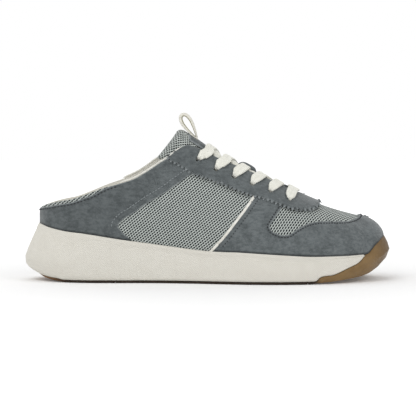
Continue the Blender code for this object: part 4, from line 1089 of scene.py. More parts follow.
WINDOW_EDGE = (
    (0.705, 0.580), (0.695, 0.539), (0.683, 0.490), (0.670, 0.439), (0.664, 0.410), (0.669, 0.385),
    (0.684, 0.364), (0.703, 0.354), (0.717, 0.363), (0.727, 0.381), (0.742, 0.406), (0.758, 0.426),
    (0.779, 0.440), (0.800, 0.446), (0.832, 0.443), (0.867, 0.440), (0.886, 0.445), (0.902, 0.456),
    (0.912, 0.470), (0.916, 0.490), (0.916, 0.620),
)
BEHIND, AHEAD, BELOW, ABOVE = -0.1, 1.1, -0.1, 1.6
OUTLINE_STEP = 0.0007
UNDERLAP = 0.0026
SUEDE = 0.0010
PANEL_LOW = -0.02
PANEL_SPREAD = 0.0004
# An open line runs straight on past its ends, by this many lengths of its end pieces.
LINE_RUNS_ON = 50.0
# A vertex this near to a cut, as a share of its edge, is moved onto the cut.
NEAR_CUT = 0.06


def side_line(rows):
    """A smooth side-view line in metres through (along, share of the instep's height) rows."""
    places = np.array([(x_of(along), share * INSTEP_HEIGHT) for along, share in rows])
    lengths = np.concatenate([[0.0], np.cumsum(np.linalg.norm(np.diff(places, axis=0), axis=1))])
    even = np.linspace(0.0, lengths[-1], int(lengths[-1] / OUTLINE_STEP) + 2)
    rows_x, rows_z = Line(list(zip(lengths, places[:, 0]))), Line(list(zip(lengths, places[:, 1])))
    return np.stack([rows_x.at(even), rows_z.at(even)], axis=1)


def corner(along, share):
    return np.array([[x_of(along), share * INSTEP_HEIGHT]])


def edge_distance(x, z, outline):
    """How far inside a closed side-view outline each place lies, and where along it is nearest."""
    nearest, place = np.full(x.shape, np.inf), np.zeros(x.shape)
    inside = np.zeros(x.shape, bool)
    walked = 0.0
    for a, b in zip(outline, np.roll(outline, -1, axis=0)):
        way, size = b - a, max(float(np.hypot(*(b - a))), 1e-9)
        share = np.clip(((x - a[0]) * way[0] + (z - a[1]) * way[1]) / size ** 2, 0.0, 1.0)
        far = np.hypot(x - a[0] - share * way[0], z - a[1] - share * way[1])
        closer = far < nearest
        nearest = np.where(closer, far, nearest)
        place = np.where(closer, walked + share * size, place)
        if a[1] != b[1]:
            crosses = (a[1] > z) != (b[1] > z)
            inside ^= crosses & (x < a[0] + (z - a[1]) * way[0] / (b[1] - a[1]))
        walked += size
    return np.where(inside, nearest, -nearest), place


def run_line(x, z, line):
    """Distance from an open line, positive on its left, and the place along it."""
    nearest, place, left = np.full(x.shape, np.inf), np.zeros(x.shape), np.zeros(x.shape)
    walked = 0.0
    for number, (a, b) in enumerate(zip(line, line[1:])):
        way, size = b - a, max(float(np.hypot(*(b - a))), 1e-9)
        share = ((x - a[0]) * way[0] + (z - a[1]) * way[1]) / size ** 2
        clipped = np.clip(share, -LINE_RUNS_ON if number == 0 else 0.0,
                          LINE_RUNS_ON if number == len(line) - 2 else 1.0)
        far = np.hypot(x - a[0] - clipped * way[0], z - a[1] - clipped * way[1])
        turn = way[0] * (z - a[1]) - way[1] * (x - a[0])
        closer = far < nearest
        nearest = np.where(closer, far, nearest)
        place = np.where(closer, walked + clipped * size, place)
        left = np.where(closer, np.sign(turn), left)
        walked += size
    return nearest * left, place


eyestay_line = side_line(EYESTAY_EDGE)
eyestay_outline = np.concatenate([eyestay_line, corner(EYESTAY_EDGE[-1][0], ABOVE),
                                  corner(EYESTAY_EDGE[0][0], ABOVE)])
quarter_line = side_line(QUARTER_EDGE)
stripe_line = side_line(STRIPE_EDGE)
window_line = side_line(WINDOW_EDGE)


def split_at(body, depth, level):
    """Splits the faces along the line where the vertices' depth has this level."""
    for edge in body.edges:
        a, b = edge.verts
        if (a[depth] - level) * (b[depth] - level) < 0:
            share = (level - a[depth]) / (b[depth] - a[depth])
            if share < NEAR_CUT:
                a[depth] = level
            elif share > 1 - NEAR_CUT:
                b[depth] = level
    crossing = [edge for edge in body.edges
                if (edge.verts[0][depth] - level) * (edge.verts[1][depth] - level) < 0]
    for edge in crossing:
        a, b = edge.verts
        share = (level - a[depth]) / (b[depth] - a[depth])
        _, new = bmesh.utils.edge_split(edge, a, share)
        new[depth] = level
    for face in list(body.faces):
        ends = [vert for vert in face.verts if vert[depth] == level]
        if len(face.verts) > 3 and len(ends) == 2:
            if not any(ends[1] in edge.verts for edge in ends[0].link_edges):
                bmesh.utils.face_split(face, ends[0], ends[1])
    bmesh.ops.triangulate(body, faces=[face for face in body.faces if len(face.verts) > 3])


# How a panel's edge is rolled off, as (distance from the edge, share of the roll's height).
ROLL_HEIGHT = 0.0010
ROLL_LEVELS = ((0.00022, 0.62), (0.00060, 0.90), (0.00110, 1.0))
ROLL = Line([(-1.0, 0.28), (0.0, 0.28), *ROLL_LEVELS, (1.0, 1.0)])


def trim_panel(piece, lift):
    """Cuts a sheet where its edge value is zero, rolls that edge off and gives the sheet its lift."""
    body = bmesh.new()
    body.from_mesh(piece.data)
    depth = body.verts.layers.float["edge"]
    bmesh.ops.triangulate(body, faces=body.faces)
    split_at(body, depth, 0.0)
    outside = [face for face in body.faces if max(vert[depth] for vert in face.verts) <= 1e-9]
    bmesh.ops.delete(body, geom=outside, context="FACES")
    for level, _ in ROLL_LEVELS[:2]:
        split_at(body, depth, level)
    body.normal_update()
    for vert, normal in [(vert, vert.normal.copy()) for vert in body.verts]:
        vert.co += normal * (lift - ROLL_HEIGHT * (1 - float(ROLL.at(vert[depth]))))
    body.to_mesh(piece.data)
    body.free()


def seam_line(piece, name, level, keep):
    """The lines on a panel where a value has this level, as lists of (place, normal).

    Only the places for which keep(place) is true stay.
    """
    mesh = piece.data
    value = np.empty(len(mesh.vertices), np.float32)
    mesh.attributes[name].data.foreach_get("value", value)
    value = value.astype(float) - level
    value[value == 0.0] = 1e-9
    points = np.empty(len(mesh.vertices) * 3)
    mesh.vertices.foreach_get("co", points)
    points = points.reshape(-1, 3)
    normals = np.array([vert.normal[:] for vert in mesh.vertices])
    links, spots = {}, {}
    for face in mesh.polygons:
        corners = list(face.vertices)
        if min(value[corners]) > 0 or max(value[corners]) < 0:
            continue
        ends = []
        for a, b in zip(corners, corners[1:] + corners[:1]):
            if value[a] * value[b] < 0:
                key = (min(a, b), max(a, b))
                share = value[key[0]] / (value[key[0]] - value[key[1]])
                spots[key] = (points[key[0]] * (1 - share) + points[key[1]] * share,
                              normals[key[0]] * (1 - share) + normals[key[1]] * share)
                ends.append(key)
        if len(ends) == 2:
            links.setdefault(ends[0], []).append(ends[1])
            links.setdefault(ends[1], []).append(ends[0])
    lines, used = [], set()
    for start in sorted(links, key=lambda key: (len(links[key]), key)):
        if start in used:
            continue
        line, here = [start], start
        used.add(start)
        while True:
            onward = [key for key in links[here] if key not in used]
            if not onward:
                break
            here = onward[0]
            used.add(here)
            line.append(here)
        run = []
        for key in line:
            place, normal = spots[key]
            if keep(place):
                run.append((place, normal))
            elif run:
                lines.append(run)
                run = []
        lines.append(run)
    return [line for line in lines if len(line) > 3]


STITCH_SIDES = 6
STITCH_SINK = 0.35
# Rings along a stitch, as (share of its length, share of its girth, how far it rises).
STITCH_RINGS = (
    (-0.5, 0.35, -0.9), (-0.36, 0.9, 0.0), (0.0, 1.0, 0.25), (0.36, 0.9, 0.0), (0.5, 0.35, -0.9),
)


def sew(name, lines, pitch, length, thickness, finish):
    """Rows of single stitches along lines, as one joined piece."""
    points, faces = [], []
    for line in lines:
        places = np.array([place for place, _ in line])
        normals = np.array([normal for _, normal in line])
        run = np.concatenate([[0.0], np.cumsum(np.linalg.norm(np.diff(places, axis=0), axis=1))])
        count = int(run[-1] / pitch)
        for k in range(count):
            middle = (k + 0.5) * run[-1] / count
            spots = []
            for share, _, _ in STITCH_RINGS:
                at = middle + share * length
                spots.append([np.interp(at, run, places[:, axis]) for axis in range(3)])
            spots = np.array(spots)
            normal = np.array([np.interp(middle, run, normals[:, axis]) for axis in range(3)])
            normal /= np.linalg.norm(normal)
            way = spots[-1] - spots[0]
            if np.linalg.norm(way) < 1e-6:
                continue
            way /= np.linalg.norm(way)
            aside = np.cross(normal, way)
            first = len(points)
            for spot, (_, girth_share, rise) in zip(spots, STITCH_RINGS):
                centre = spot + normal * thickness * (0.5 - STITCH_SINK + 0.5 * rise)
                for turn in range(STITCH_SIDES):
                    angle = 2 * math.pi * turn / STITCH_SIDES
                    ring = aside * math.cos(angle) + normal * math.sin(angle) * 0.8
                    points.append(centre + ring * thickness / 2 * girth_share)
            for ring in range(len(STITCH_RINGS) - 1):
                for turn in range(STITCH_SIDES):
                    a = first + ring * STITCH_SIDES + turn
                    b = first + ring * STITCH_SIDES + (turn + 1) % STITCH_SIDES
                    faces.append((a, a + STITCH_SIDES, b + STITCH_SIDES, b))
            faces.append(tuple(range(first, first + STITCH_SIDES)))
            last = first + STITCH_SIDES * (len(STITCH_RINGS) - 1)
            faces.append(tuple(range(last + STITCH_SIDES - 1, last - 1, -1)))
    mesh = bpy.data.meshes.new(name)
    mesh.from_pydata(points, [], faces)
    stitches = bpy.data.objects.new(name, mesh)
    bpy.context.scene.collection.objects.link(stitches)
    edit(stitches)
    bpy.ops.mesh.normals_make_consistent(inside=False)
    bpy.ops.mesh.faces_shade_smooth()
    leave()
    mesh.materials.append(finish.material)
    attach(stitches, "root")


def suede_finish(name, light, worn_and_highlight, pale_edge_reach, edge):
    """Suede: short nap brushed this way and that, darker at the heel, with painted shade where it meets
    the foam.

    It is paler up to this far from the panels' edges, as the value with this name says: partly rubbed
    wear and partly a painted highlight on the rolled edges.
    """
    dark = (0.092, 0.104, 0.107)
    nap = Finish(name, dark, 0.95)
    place = nap.place()
    patches = nap.noise(place, 11.0, 4, 0.6)
    brushed = nap.noise(nap.place(scale=(0.55, 1.0, 1.0), turn=(0, 35, 0)), 2.2, 4, 0.65)
    fibre = nap.noise(place, 0.42, 3, 0.7)
    tone = nap.math("ADD", nap.math("MULTIPLY", patches, 0.45), nap.math("MULTIPLY", brushed, 0.55))
    base = nap.mix(nap.band(tone, 0.36, 0.64), dark, light)
    shaded = nap.mix(1.0, base, (0.72, 0.74, 0.75), "MULTIPLY")
    base = nap.mix(nap.band(fibre, 0.30, 0.70, 0.0, 0.8), base, shaded)
    fleck = nap.band(nap.noise(place, 0.8, 2, 0.6), 0.57, 0.72, 0.0, 0.75)
    base = nap.mix(fleck, base, light)
    # Painted shade along the foam's rim, times a darkening towards the heel.
    foam_rim_shade_heel_dark = nap.math("MULTIPLY", nap.band(nap.attribute("rim"), 0.0003, 0.0022, 0.40, 1.0),
                    nap.band(nap.axis(place, 0), -80.0, 40.0, 0.86, 1.05))
    base = nap.mix(1.0, base, foam_rim_shade_heel_dark, "MULTIPLY")
    # Paler rolled edges: partly rubbed wear, partly a painted highlight on the raised edge.
    rub_and_highlight = nap.band(nap.attribute(edge), 0.00012, pale_edge_reach, 1.0, 0.0)
    rub_and_highlight = nap.math("MULTIPLY", rub_and_highlight, nap.band(brushed, 0.3, 0.6, 0.45, 1.0))
    rub_and_highlight = nap.math("MULTIPLY", rub_and_highlight, nap.band(nap.attribute("rim"), 0.0010, 0.0035))
    nap.color(nap.mix(rub_and_highlight, base, worn_and_highlight))
    nap.rough(nap.band(brushed, 0.3, 0.7, 0.88, 1.0))
    nap.bump(brushed, 0.00022)
    nap.bump(fibre, 0.00020)
    nap.set(sheen=0.35, sheen_rough=0.45, specular=0.12)
    return nap


suede = suede_finish("grey_suede", (0.165, 0.183, 0.187), (0.25, 0.272, 0.278), 0.00105, "edge")


def thread_finish(name, color, roughness, dark, light):
    """Sewing thread whose tone changes a little from stitch to stitch."""
    thread = Finish(name, color, roughness)
    tone = thread.band(thread.noise(thread.place(), 0.8, 2), 0.3, 0.7)
    thread.color(thread.mix(tone, dark, light))
    return thread


thread = thread_finish("grey_thread", (0.14, 0.155, 0.16), 0.7, (0.165, 0.183, 0.190),
                       (0.25, 0.275, 0.285))
dark_thread = thread_finish("dark_thread", (0.02, 0.022, 0.025), 0.75, (0.016, 0.018, 0.021),
                            (0.040, 0.044, 0.048))


def add_panel(name, loop, low, top, rows, fields, lift=FIT + SUEDE, top_edge=True):
    """A panel from one rise up to the other, cut to its outline and rolled off at its edges.

    fields(x, z, y) gives the values to keep, "edge" among them: how far inside the cut a place is.
    """
    rises = low + (top - low)[:, None] * np.linspace(0.0, 1.0, rows)
    points = lasted(loop[:, None], rises)
    lengths = column_lengths(points)
    values = fields(points[..., 0], points[..., 2], points[..., 1])
    values["top"] = lengths[:, -1:] - lengths
    values["rim"] = points[..., 2] - rim_height(*on_loop(loop))[:, None]
    if top_edge:
        closed_top = (top >= 1.0 - 1e-9)[:, None]
        rim_edge = np.where(closed_top, 1.0, values["top"] + 1e-6)
        values["edge"] = np.minimum(values["edge"], rim_edge)
    panel, i, j = add_sheet(name, points)
    for key, value in values.items():
        give_value(panel, key, value[i, j])
    merge(panel)
    trim_panel(panel, lift)
    return panel


def finish_panel(panel, replaced, finish, thickness=1.1 * SUEDE):
    fit(panel, "SOLIDIFY", thickness=thickness, offset=-1.0, use_rim=True)
    panel.data.materials.append(finish.material)
    smooth(panel, 50)
    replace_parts(panel, replaced)
    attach(panel, "root")


QUARTER_SEAM_IN = 0.0052
QUARTER_SEAM_LOW = 0.044
COLLAR_SEAM_IN = 0.0019
COLLAR_SEAM_END = -0.072
counter_outline = np.concatenate([
    corner(BEHIND, ABOVE), corner(BEHIND, BELOW), corner(QUARTER_EDGE[-1][0], BELOW),
    quarter_line[::-1], corner(QUARTER_EDGE[0][0] + 0.02, ABOVE),
])


def counter_fields(x, z, y):
    edge, _ = edge_distance(x, z, counter_outline)
    under, _ = edge_distance(x, z, eyestay_outline)
    return {"edge": np.minimum(edge, UNDERLAP - under), "front": edge}


COUNTER_COUNT = 300
COUNTER_ROWS = 46
COUNTER_REACH = 0.62
counter_stations = np.linspace(-COUNTER_REACH, COUNTER_REACH, COUNTER_COUNT)
counter_top = top_rise(counter_stations, LIP_LINE)
counter = add_panel("heel_counter_suede", counter_stations, PANEL_LOW, counter_top, COUNTER_ROWS,
                    counter_fields)
quarter_seam = seam_line(counter, "front", QUARTER_SEAM_IN,
                         lambda p: p[2] > QUARTER_SEAM_LOW and abs(p[1]) > 0.01)
collar_seam = seam_line(counter, "top", COLLAR_SEAM_IN, lambda p: p[0] < COLLAR_SEAM_END)
finish_panel(counter, "heel_counter", suede)
sew("quarter_stitches", quarter_seam, 0.0027, 0.0020, 0.00095, thread)
sew("collar_stitches", collar_seam, 0.0029, 0.0019, 0.0010, dark_thread)

# Stripes: a narrow folded strip of off-white leather on each side, caught in the seam between the
# mesh quarter and the mudguard.
STRIPE_WIDTH = 0.0024
STRIPE_RAISE = 0.0002
STRIPE_BEGIN, STRIPE_STOP = 0.40, 0.70
STRIPE_COUNT = 130
STRIPE_ROWS = 60
STRIPE_RISE = 0.85
trim = Finish("off_white_trim", (0.70, 0.69, 0.63), 0.6)
trim_place = trim.place()
trim_tone = trim.band(trim.noise(trim_place, 5.0, 3), 0.3, 0.7)
trim.color(trim.mix(trim_tone, (0.70, 0.685, 0.625), (0.81, 0.80, 0.745)))
trim.bump(trim.noise(trim_place, 0.5, 3), 0.00008)
trim.set(specular=0.35)


def stripe_fields(x, z, y):
    beside, _ = run_line(x, z, stripe_line)
    under, _ = edge_distance(x, z, eyestay_outline)
    edge = STRIPE_WIDTH / 2 - np.abs(beside)
    return {"edge": np.minimum(edge, UNDERLAP - under)}


for name, turn in (("stripe_lateral", 1), ("stripe_medial", -1)):
    stripe_loop = turn * np.linspace(STRIPE_BEGIN, STRIPE_STOP, STRIPE_COUNT)
    stripe_top = np.minimum(top_rise(stripe_loop), STRIPE_RISE)
    stripe = add_panel(name + "_strip", stripe_loop, PANEL_LOW, stripe_top, STRIPE_ROWS,
                       stripe_fields, lift=FIT + SUEDE + STRIPE_RAISE, top_edge=False)
    finish_panel(stripe, name, trim)

# Mudguard: a suede panel round the toe and up the forefoot, with a window on each side of the toe
# that runs over the crown and shows the mesh vamp. A row of dark thread follows window and stripe.
STRIPE_SEAM_IN = 0.0041
STRIPE_SEAM_LOW = 0.029
WINDOW_SEAM_IN = 0.0022
WINDOW_BEGIN = 0.045
mudguard_outline = np.concatenate([
    corner(STRIPE_EDGE[-1][0], BELOW), stripe_line[::-1], corner(WINDOW_EDGE[0][0] - 0.04, 0.66),
    window_line, corner(WINDOW_EDGE[-1][0], ABOVE), corner(AHEAD, ABOVE), corner(AHEAD, BELOW),
])


def mudguard_fields(x, z, y):
    edge, _ = edge_distance(x, z, mudguard_outline)
    under, _ = edge_distance(x, z, eyestay_outline)
    stripe_side, _ = run_line(x, z, stripe_line)
    window_side, _ = run_line(x, z, window_line)
    return {"edge": np.minimum(edge - PANEL_SPREAD, UNDERLAP - under),
            "stripe": np.abs(stripe_side), "window": np.abs(window_side)}


MUDGUARD_COUNT = 230
MUDGUARD_ROWS = 56
MUDGUARD_BEGIN = 0.46
mudguard_half = np.linspace(MUDGUARD_BEGIN, 1.0, MUDGUARD_COUNT)
mudguard_loop = np.concatenate([mudguard_half, 2 - mudguard_half[-2::-1]])
mudguard = add_panel("mudguard_suede", mudguard_loop, PANEL_LOW, top_rise(mudguard_loop),
                     MUDGUARD_ROWS, mudguard_fields, top_edge=False)
stripe_seam = seam_line(mudguard, "stripe", STRIPE_SEAM_IN,
                        lambda p: p[0] < WINDOW_BEGIN and p[2] > STRIPE_SEAM_LOW)
window_seam = seam_line(mudguard, "window", WINDOW_SEAM_IN, lambda p: p[0] > WINDOW_BEGIN)
finish_panel(mudguard, "mudguard", suede)
sew("stripe_stitches", stripe_seam, 0.0025, 0.0014, 0.0008, dark_thread)
sew("window_stitches", window_seam, 0.0025, 0.0017, 0.0010, dark_thread)

# Eyestay: a suede panel on top of the others round the throat, its lower edge cut with pinking
# shears, with six lace holes on each side.
EYESTAY_RAISE = 0.0013
EYESTAY_LOW = 0.40
PINK_PITCH = 0.0035
PINK_DEPTH = 0.0019
PINK_STOP = 0.008
pinked_suede = suede_finish("pinked_suede", (0.152, 0.169, 0.173), (0.26, 0.284, 0.29), 0.0021,
                            "pinked")


def eyestay_fields(x, z, y):
    edge, place = edge_distance(x, z, eyestay_outline)
    pinked_run = len(eyestay_line) * OUTLINE_STEP - PINK_STOP
    tooth = np.abs((place / PINK_PITCH) % 1.0 - 0.5) * 2
    tooth = tooth * tooth * (3 - 2 * tooth)
    cut = np.where(place < pinked_run, PINK_DEPTH * tooth, 0.0)
    kept = edge + PANEL_SPREAD - cut
    for number in range(EYELET_COUNT):
        for side in (LATERAL, MEDIAL):
            along = eyelet_along(number)
            hole = lasted(*crown_place(along, side * EYELET_ROW.at(along)))
            away = np.sqrt((x - hole[0]) ** 2 + (y - hole[1]) ** 2 + (z - hole[2]) ** 2)
            kept = np.minimum(kept, away - EYELET_HOLE / 2)
    return {"edge": kept, "pinked": edge}


EYESTAY_COUNT = 640
EYESTAY_ROWS = 62
# Columns stand close together from the panel's back to its front, and wide apart round the toe,
# where nothing of the panel is left after the cut.
EYESTAY_BEGIN, EYESTAY_STOP = 0.37, 0.80
eyestay_fine = side_stations(EYESTAY_COUNT)
eyestay_fine = eyestay_fine[(eyestay_fine > EYESTAY_BEGIN) & (eyestay_fine < EYESTAY_STOP)]
eyestay_half = np.concatenate([eyestay_fine, np.linspace(EYESTAY_STOP + 0.005, 1.0, 14)])
eyestay_loop = np.concatenate([eyestay_half, 2 - eyestay_half[-2::-1]])
eyestay = add_panel("eyestay_suede", eyestay_loop, EYESTAY_LOW, top_rise(eyestay_loop),
                    EYESTAY_ROWS, eyestay_fields, lift=FIT + SUEDE + EYESTAY_RAISE)
finish_panel(eyestay, "eyestay", pinked_suede, thickness=1.6 * SUEDE)

# Piping: a thin cord wrapped in off-white leather, sewn along the collar's edge on each side.
PIPING = 0.0014
PIPING_START = 0.262
PIPING_END = 0.440
PIPING_STEPS = 90
# The cord thins to this at its two ends, over a twelfth of its length.
PIPING_TIP = 0.0002


def smooth_path(rows, count):
    """A path through places, resampled evenly, by a spline that passes through them all."""
    rows = np.asarray(rows, float)
    lengths = np.concatenate([[0.0], np.cumsum(np.linalg.norm(np.diff(rows[:, :3], axis=0), axis=1))])
    even = np.linspace(0.0, lengths[-1], count)
    padded = np.concatenate([[2 * rows[0] - rows[1]], rows, [2 * rows[-1] - rows[-2]]])
    i = np.clip(np.searchsorted(lengths, even, side="right") - 1, 0, len(rows) - 2)
    u = ((even - lengths[i]) / (lengths[i + 1] - lengths[i]))[:, None]
    p0, p1, p2, p3 = padded[i], padded[i + 1], padded[i + 2], padded[i + 3]
    return 0.5 * (2 * p1 + (p2 - p0) * u + (2 * p0 - 5 * p1 + 4 * p2 - p3) * u ** 2
                  + (3 * p1 - p0 - 3 * p2 + p3) * u ** 3)


def unit(vectors):
    return vectors / np.maximum(np.linalg.norm(vectors, axis=-1, keepdims=True), 1e-12)


def add_strand(name, places, normals, widths, heights, section):
    """A closed strand: a section, as shares of its width and height, carried along a path."""
    ways = unit(np.gradient(places, axis=0))
    aside = unit(np.cross(normals, ways))
    above = np.cross(ways, aside)
    section = np.asarray(section, float)
    rings = (places[:, None] + aside[:, None] * (section[None, :, :1] * widths[:, None, None])
             + above[:, None] * (section[None, :, 1:] * heights[:, None, None]))
    run = np.concatenate([[0.0], np.cumsum(np.linalg.norm(np.diff(places, axis=0), axis=1))])
    around = np.arange(len(section) + 1) / len(section)
    strand, i, j = add_sheet(name, np.concatenate([rings, rings[:, :1]], axis=1))
    give_map(strand, run[i], around[j] * 2.2 * float(np.max(widths)))
    close_ends(strand, 1e-7)
    smooth(strand, 60)
    return strand


ROUND_SIDES = 12
ROUND = [(0.5 * math.cos(2 * math.pi * k / ROUND_SIDES), 0.5 * math.sin(2 * math.pi * k / ROUND_SIDES))
         for k in range(ROUND_SIDES)]
for name, turn in (("piping_lateral", 1), ("piping_medial", -1)):
    stations = np.linspace(0.05, 0.75, 500)
    rises = top_rise(turn * stations)
    edge = last_points(turn * stations, rises)
    there = (along_of(edge[:, 0]) > PIPING_START) & (along_of(edge[:, 0]) < PIPING_END)
    loops, rises = turn * stations[there], rises[there]
    up = unit(last_points(loops, rises) - last_points(loops, rises - 0.02))
    path = lasted(loops, rises, -WALL / 2) + up * (FIT + PIPING / 2)
    path = smooth_path(path[::6], PIPING_STEPS)
    normals = np.tile([0.0, 0.0, 1.0], (len(path), 1))
    fade = np.sin(np.clip(np.linspace(0, 1, len(path)) * 12, 0, 1) * math.pi / 2)
    size = PIPING * np.minimum(fade, fade[::-1]) * 1.15 + PIPING_TIP
    piping = add_strand(name + "_cord", path, normals, size, size, ROUND)
    piping.data.materials.append(trim.material)
    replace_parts(piping, name)
    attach(piping, "root")

# Tongue: knitted mesh over soft foam, sewn in under the throat's lower end, its upper edge rolled and
# its corners hanging down inside the collar.
TONGUE_PAD = 0.0062
TONGUE_EDGE = 0.0022
TONGUE_START = 0.80
TONGUE_TOP = 0.425
TONGUE_DROOP = 0.052
TONGUE_SPREAD_LOW = 0.27
TONGUE_SPREAD_TOP = 0.52
TONGUE_SLACK = 0.0012
TONGUE_DEPTH = WALL + TONGUE_SLACK
TONGUE_ROWS = 110
TONGUE_COLUMNS = 60
TONGUE_SWELL = 0.0016
TONGUE_DENT = 0.0006
# How soon the pad reaches its full thickness from its top and from its sides.
ROUND_TOP, ROUND_SIDE = 22.0, 8.0


def tongue_places(up, across):
    """Loop place and rise on the tongue: up from its sewn end to its top, across from -1 to 1."""
    start, end = station_at_crown(np.array([TONGUE_START, TONGUE_TOP]))
    station = start + (end - TONGUE_DROOP * across * across - start) * up
    spread = TONGUE_SPREAD_LOW + (TONGUE_SPREAD_TOP - TONGUE_SPREAD_LOW) * up
    return np.where(across > 0, 2 - station, station), 1 - np.abs(across) * spread


def tongue_sheet(rows, columns):
    """Shares up and across the tongue, closer together at its edges, their places and the pad there."""
    up = np.sin(np.linspace(0, 1, rows) * math.pi / 2)
    up = np.linspace(0, 1, rows) * 0.35 + up * 0.65
    across = np.sin(np.linspace(-1, 1, columns) * math.pi / 2)
    up, across = np.meshgrid(up, across, indexing="ij")
    loop, rise = tongue_places(up, across)
    pad = TONGUE_PAD * ease(0.0, 0.25, up) * np.sqrt(np.maximum(1 - across ** 4, 0.0))
    pad = pad * (1 - 0.10 * ease(0.90, 1.0, up))
    return up, across, loop, rise, np.maximum(pad, TONGUE_EDGE)


tongue_up, tongue_across, tongue_loop, tongue_rise, tongue_pad = tongue_sheet(
    TONGUE_ROWS, TONGUE_COLUMNS)
tongue_points = last_points(tongue_loop, tongue_rise)
tongue_normals = last_normals(tongue_loop, tongue_rise)
near_top = np.clip((1 - tongue_up) * ROUND_TOP, 0, 1)
near_side = np.clip((1 - np.abs(tongue_across)) * ROUND_SIDE, 0, 1)
roundness = np.sqrt(1 - (1 - near_top) ** 2) * np.sqrt(1 - (1 - near_side) ** 2)
swell = TONGUE_SWELL * ease(0.70, 0.95, tongue_up) * roundness
dent = TONGUE_DENT * np.exp(-((tongue_up - 0.83) / 0.03) ** 2) * (1 - tongue_across ** 2)
front_lift = -TONGUE_DEPTH - tongue_pad * 0.5 * (1 - roundness) + swell - dent
back_lift = -TONGUE_DEPTH - tongue_pad * (0.5 + 0.5 * roundness)
tongue_front = tongue_points + tongue_normals * front_lift[..., None]
tongue_back = tongue_points + tongue_normals * back_lift[..., None]
both = np.concatenate([tongue_front, tongue_back[::-1]], axis=0)
tongue, tongue_i, tongue_j = add_sheet("padded_tongue", both)
front_run = column_lengths(both.transpose(1, 0, 2)).T
aside_run = column_lengths(both)
aside_run = aside_run - aside_run[:, -1:] / 2
give_map(tongue, -front_run[tongue_i, tongue_j], aside_run[tongue_i, tongue_j])
edit(tongue)
bpy.ops.mesh.remove_doubles(threshold=1e-6)
leave()
sides = bmesh.new()
sides.from_mesh(tongue.data)
rim_edges = [edge for edge in sides.edges if len(edge.link_faces) == 1]
bmesh.ops.holes_fill(sides, edges=rim_edges, sides=0)
bmesh.ops.triangulate(sides, faces=[face for face in sides.faces if len(face.verts) > 4])
bmesh.ops.recalc_face_normals(sides, faces=sides.faces)
sides.to_mesh(tongue.data)
sides.free()
smooth(tongue, 70)

pad_net, pad_place, pad_far, _ = knitted("tongue_mesh", 0.96, 0.68)
pad_thread = pad_net.band(pad_far, 0.7, 1.15)
pad_tone = pad_net.band(pad_net.noise(pad_place, 7.0, 3), 0.3, 0.7)
# Painted shade: the mesh's holes are painted near black.
pad_net.color(pad_net.mix(pad_thread, (0.014, 0.018, 0.018),
                          pad_net.mix(pad_tone, (0.42, 0.455, 0.43), (0.58, 0.62, 0.59))))
pad_net.bump(pad_thread, 0.00035)
pad_net.set(sheen=0.2, specular=0.25)
tongue.data.materials.append(pad_net.material)
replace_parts(tongue, "tongue")
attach(tongue, "root")

# Tongue tab: a small suede patch with pinked ends, sewn over the tongue near its top. The pull loop's
# ends are caught under it.
TAB_TOP = 0.450
TAB_LENGTH = 0.0145
TAB_WIDTH = 0.022
TAB_THICKNESS = 0.0012
TAB_ROLL = 0.0008
TAB_TEETH = 0.0022
on_pad = -TONGUE_DEPTH + FIT + 0.0008
tab_u, tab_v = np.meshgrid(np.linspace(0, 1, 60), np.linspace(-1, 1, 70), indexing="ij")
tab_tooth = np.abs((tab_v * TAB_WIDTH / 2 / TAB_TEETH) % 1.0 - 0.5) * 2
tab_stretch = 1 + (tab_tooth - 0.5) * 0.17
tab_along = TAB_TOP + TAB_LENGTH / SOLE_LENGTH * (0.5 + (tab_u - 0.5) * tab_stretch)
tab_loop, tab_rise = crown_place(tab_along, tab_v * TAB_WIDTH / 2)
tab_edge = np.minimum(np.minimum(tab_u, 1 - tab_u) * TAB_LENGTH, (1 - np.abs(tab_v)) * TAB_WIDTH / 2)
tab_roll = np.sqrt(1 - (1 - np.clip(tab_edge / TAB_ROLL, 0, 1)) ** 2)
tab_lift = on_pad + TAB_THICKNESS * (0.45 + 0.55 * tab_roll)
tab_points = last_points(tab_loop, tab_rise) + last_normals(tab_loop, tab_rise) * tab_lift[..., None]
tab, tab_i, tab_j = add_sheet("tongue_tab_patch", tab_points)
give_value(tab, "edge", tab_edge[tab_i, tab_j])
give_value(tab, "rim", np.ones(len(tab_i)))
give_value(tab, "pinked", tab_edge[tab_i, tab_j])
edit(tab)
bpy.ops.mesh.normals_make_consistent(inside=False)
leave()
if sum(face.normal.z for face in tab.data.polygons) < 0:
    tab.data.flip_normals()
fit(tab, "SOLIDIFY", thickness=TAB_THICKNESS, offset=-1.0)
tab.data.materials.append(pinked_suede.material)
smooth(tab, 50)
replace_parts(tab, "tongue_tab")
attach(tab, "root")

# Pull loop: a strip of off-white webbing folded into a teardrop, its inner face painted a dark khaki
# as shade. Its ends are sewn to the tab, and it leans back over the collar.
LOOP_WIDTH = 0.009
LOOP_THICKNESS = 0.0025
LOOP_LENGTH = 0.0252
LOOP_OPENING = 0.0055
LOOP_LEAN = 32.0
LOOP_SEAM = 0.0037
LOOP_FOOT = 0.475
loop_base = lasted(*crown_place(LOOP_FOOT, 0.0), -TONGUE_DEPTH + TAB_THICKNESS + 2 * FIT)
lean = math.radians(LOOP_LEAN)
loop_up = np.array([-math.sin(lean), 0.0, math.cos(lean)])
loop_back = np.array([-math.cos(lean), 0.0, -math.sin(lean)])
turn = np.linspace(0, 2 * math.pi, 97)
share = (1 - np.cos(turn)) / 2
LOOP_NARROW, LOOP_WIDE = 0.30, 1.15
rings = []
for start, end, half in ((0.0, LOOP_LENGTH, LOOP_OPENING / 2 + LOOP_THICKNESS * 1.35),
                         (LOOP_SEAM, LOOP_LENGTH - LOOP_THICKNESS * 1.2, LOOP_OPENING / 2)):
    spread = half * np.sin(turn) * (LOOP_NARROW + (LOOP_WIDE - LOOP_NARROW) * share)
    reach = start + (end - start) * share
    rings.append(loop_base + reach[:, None] * loop_up + spread[:, None] * loop_back)
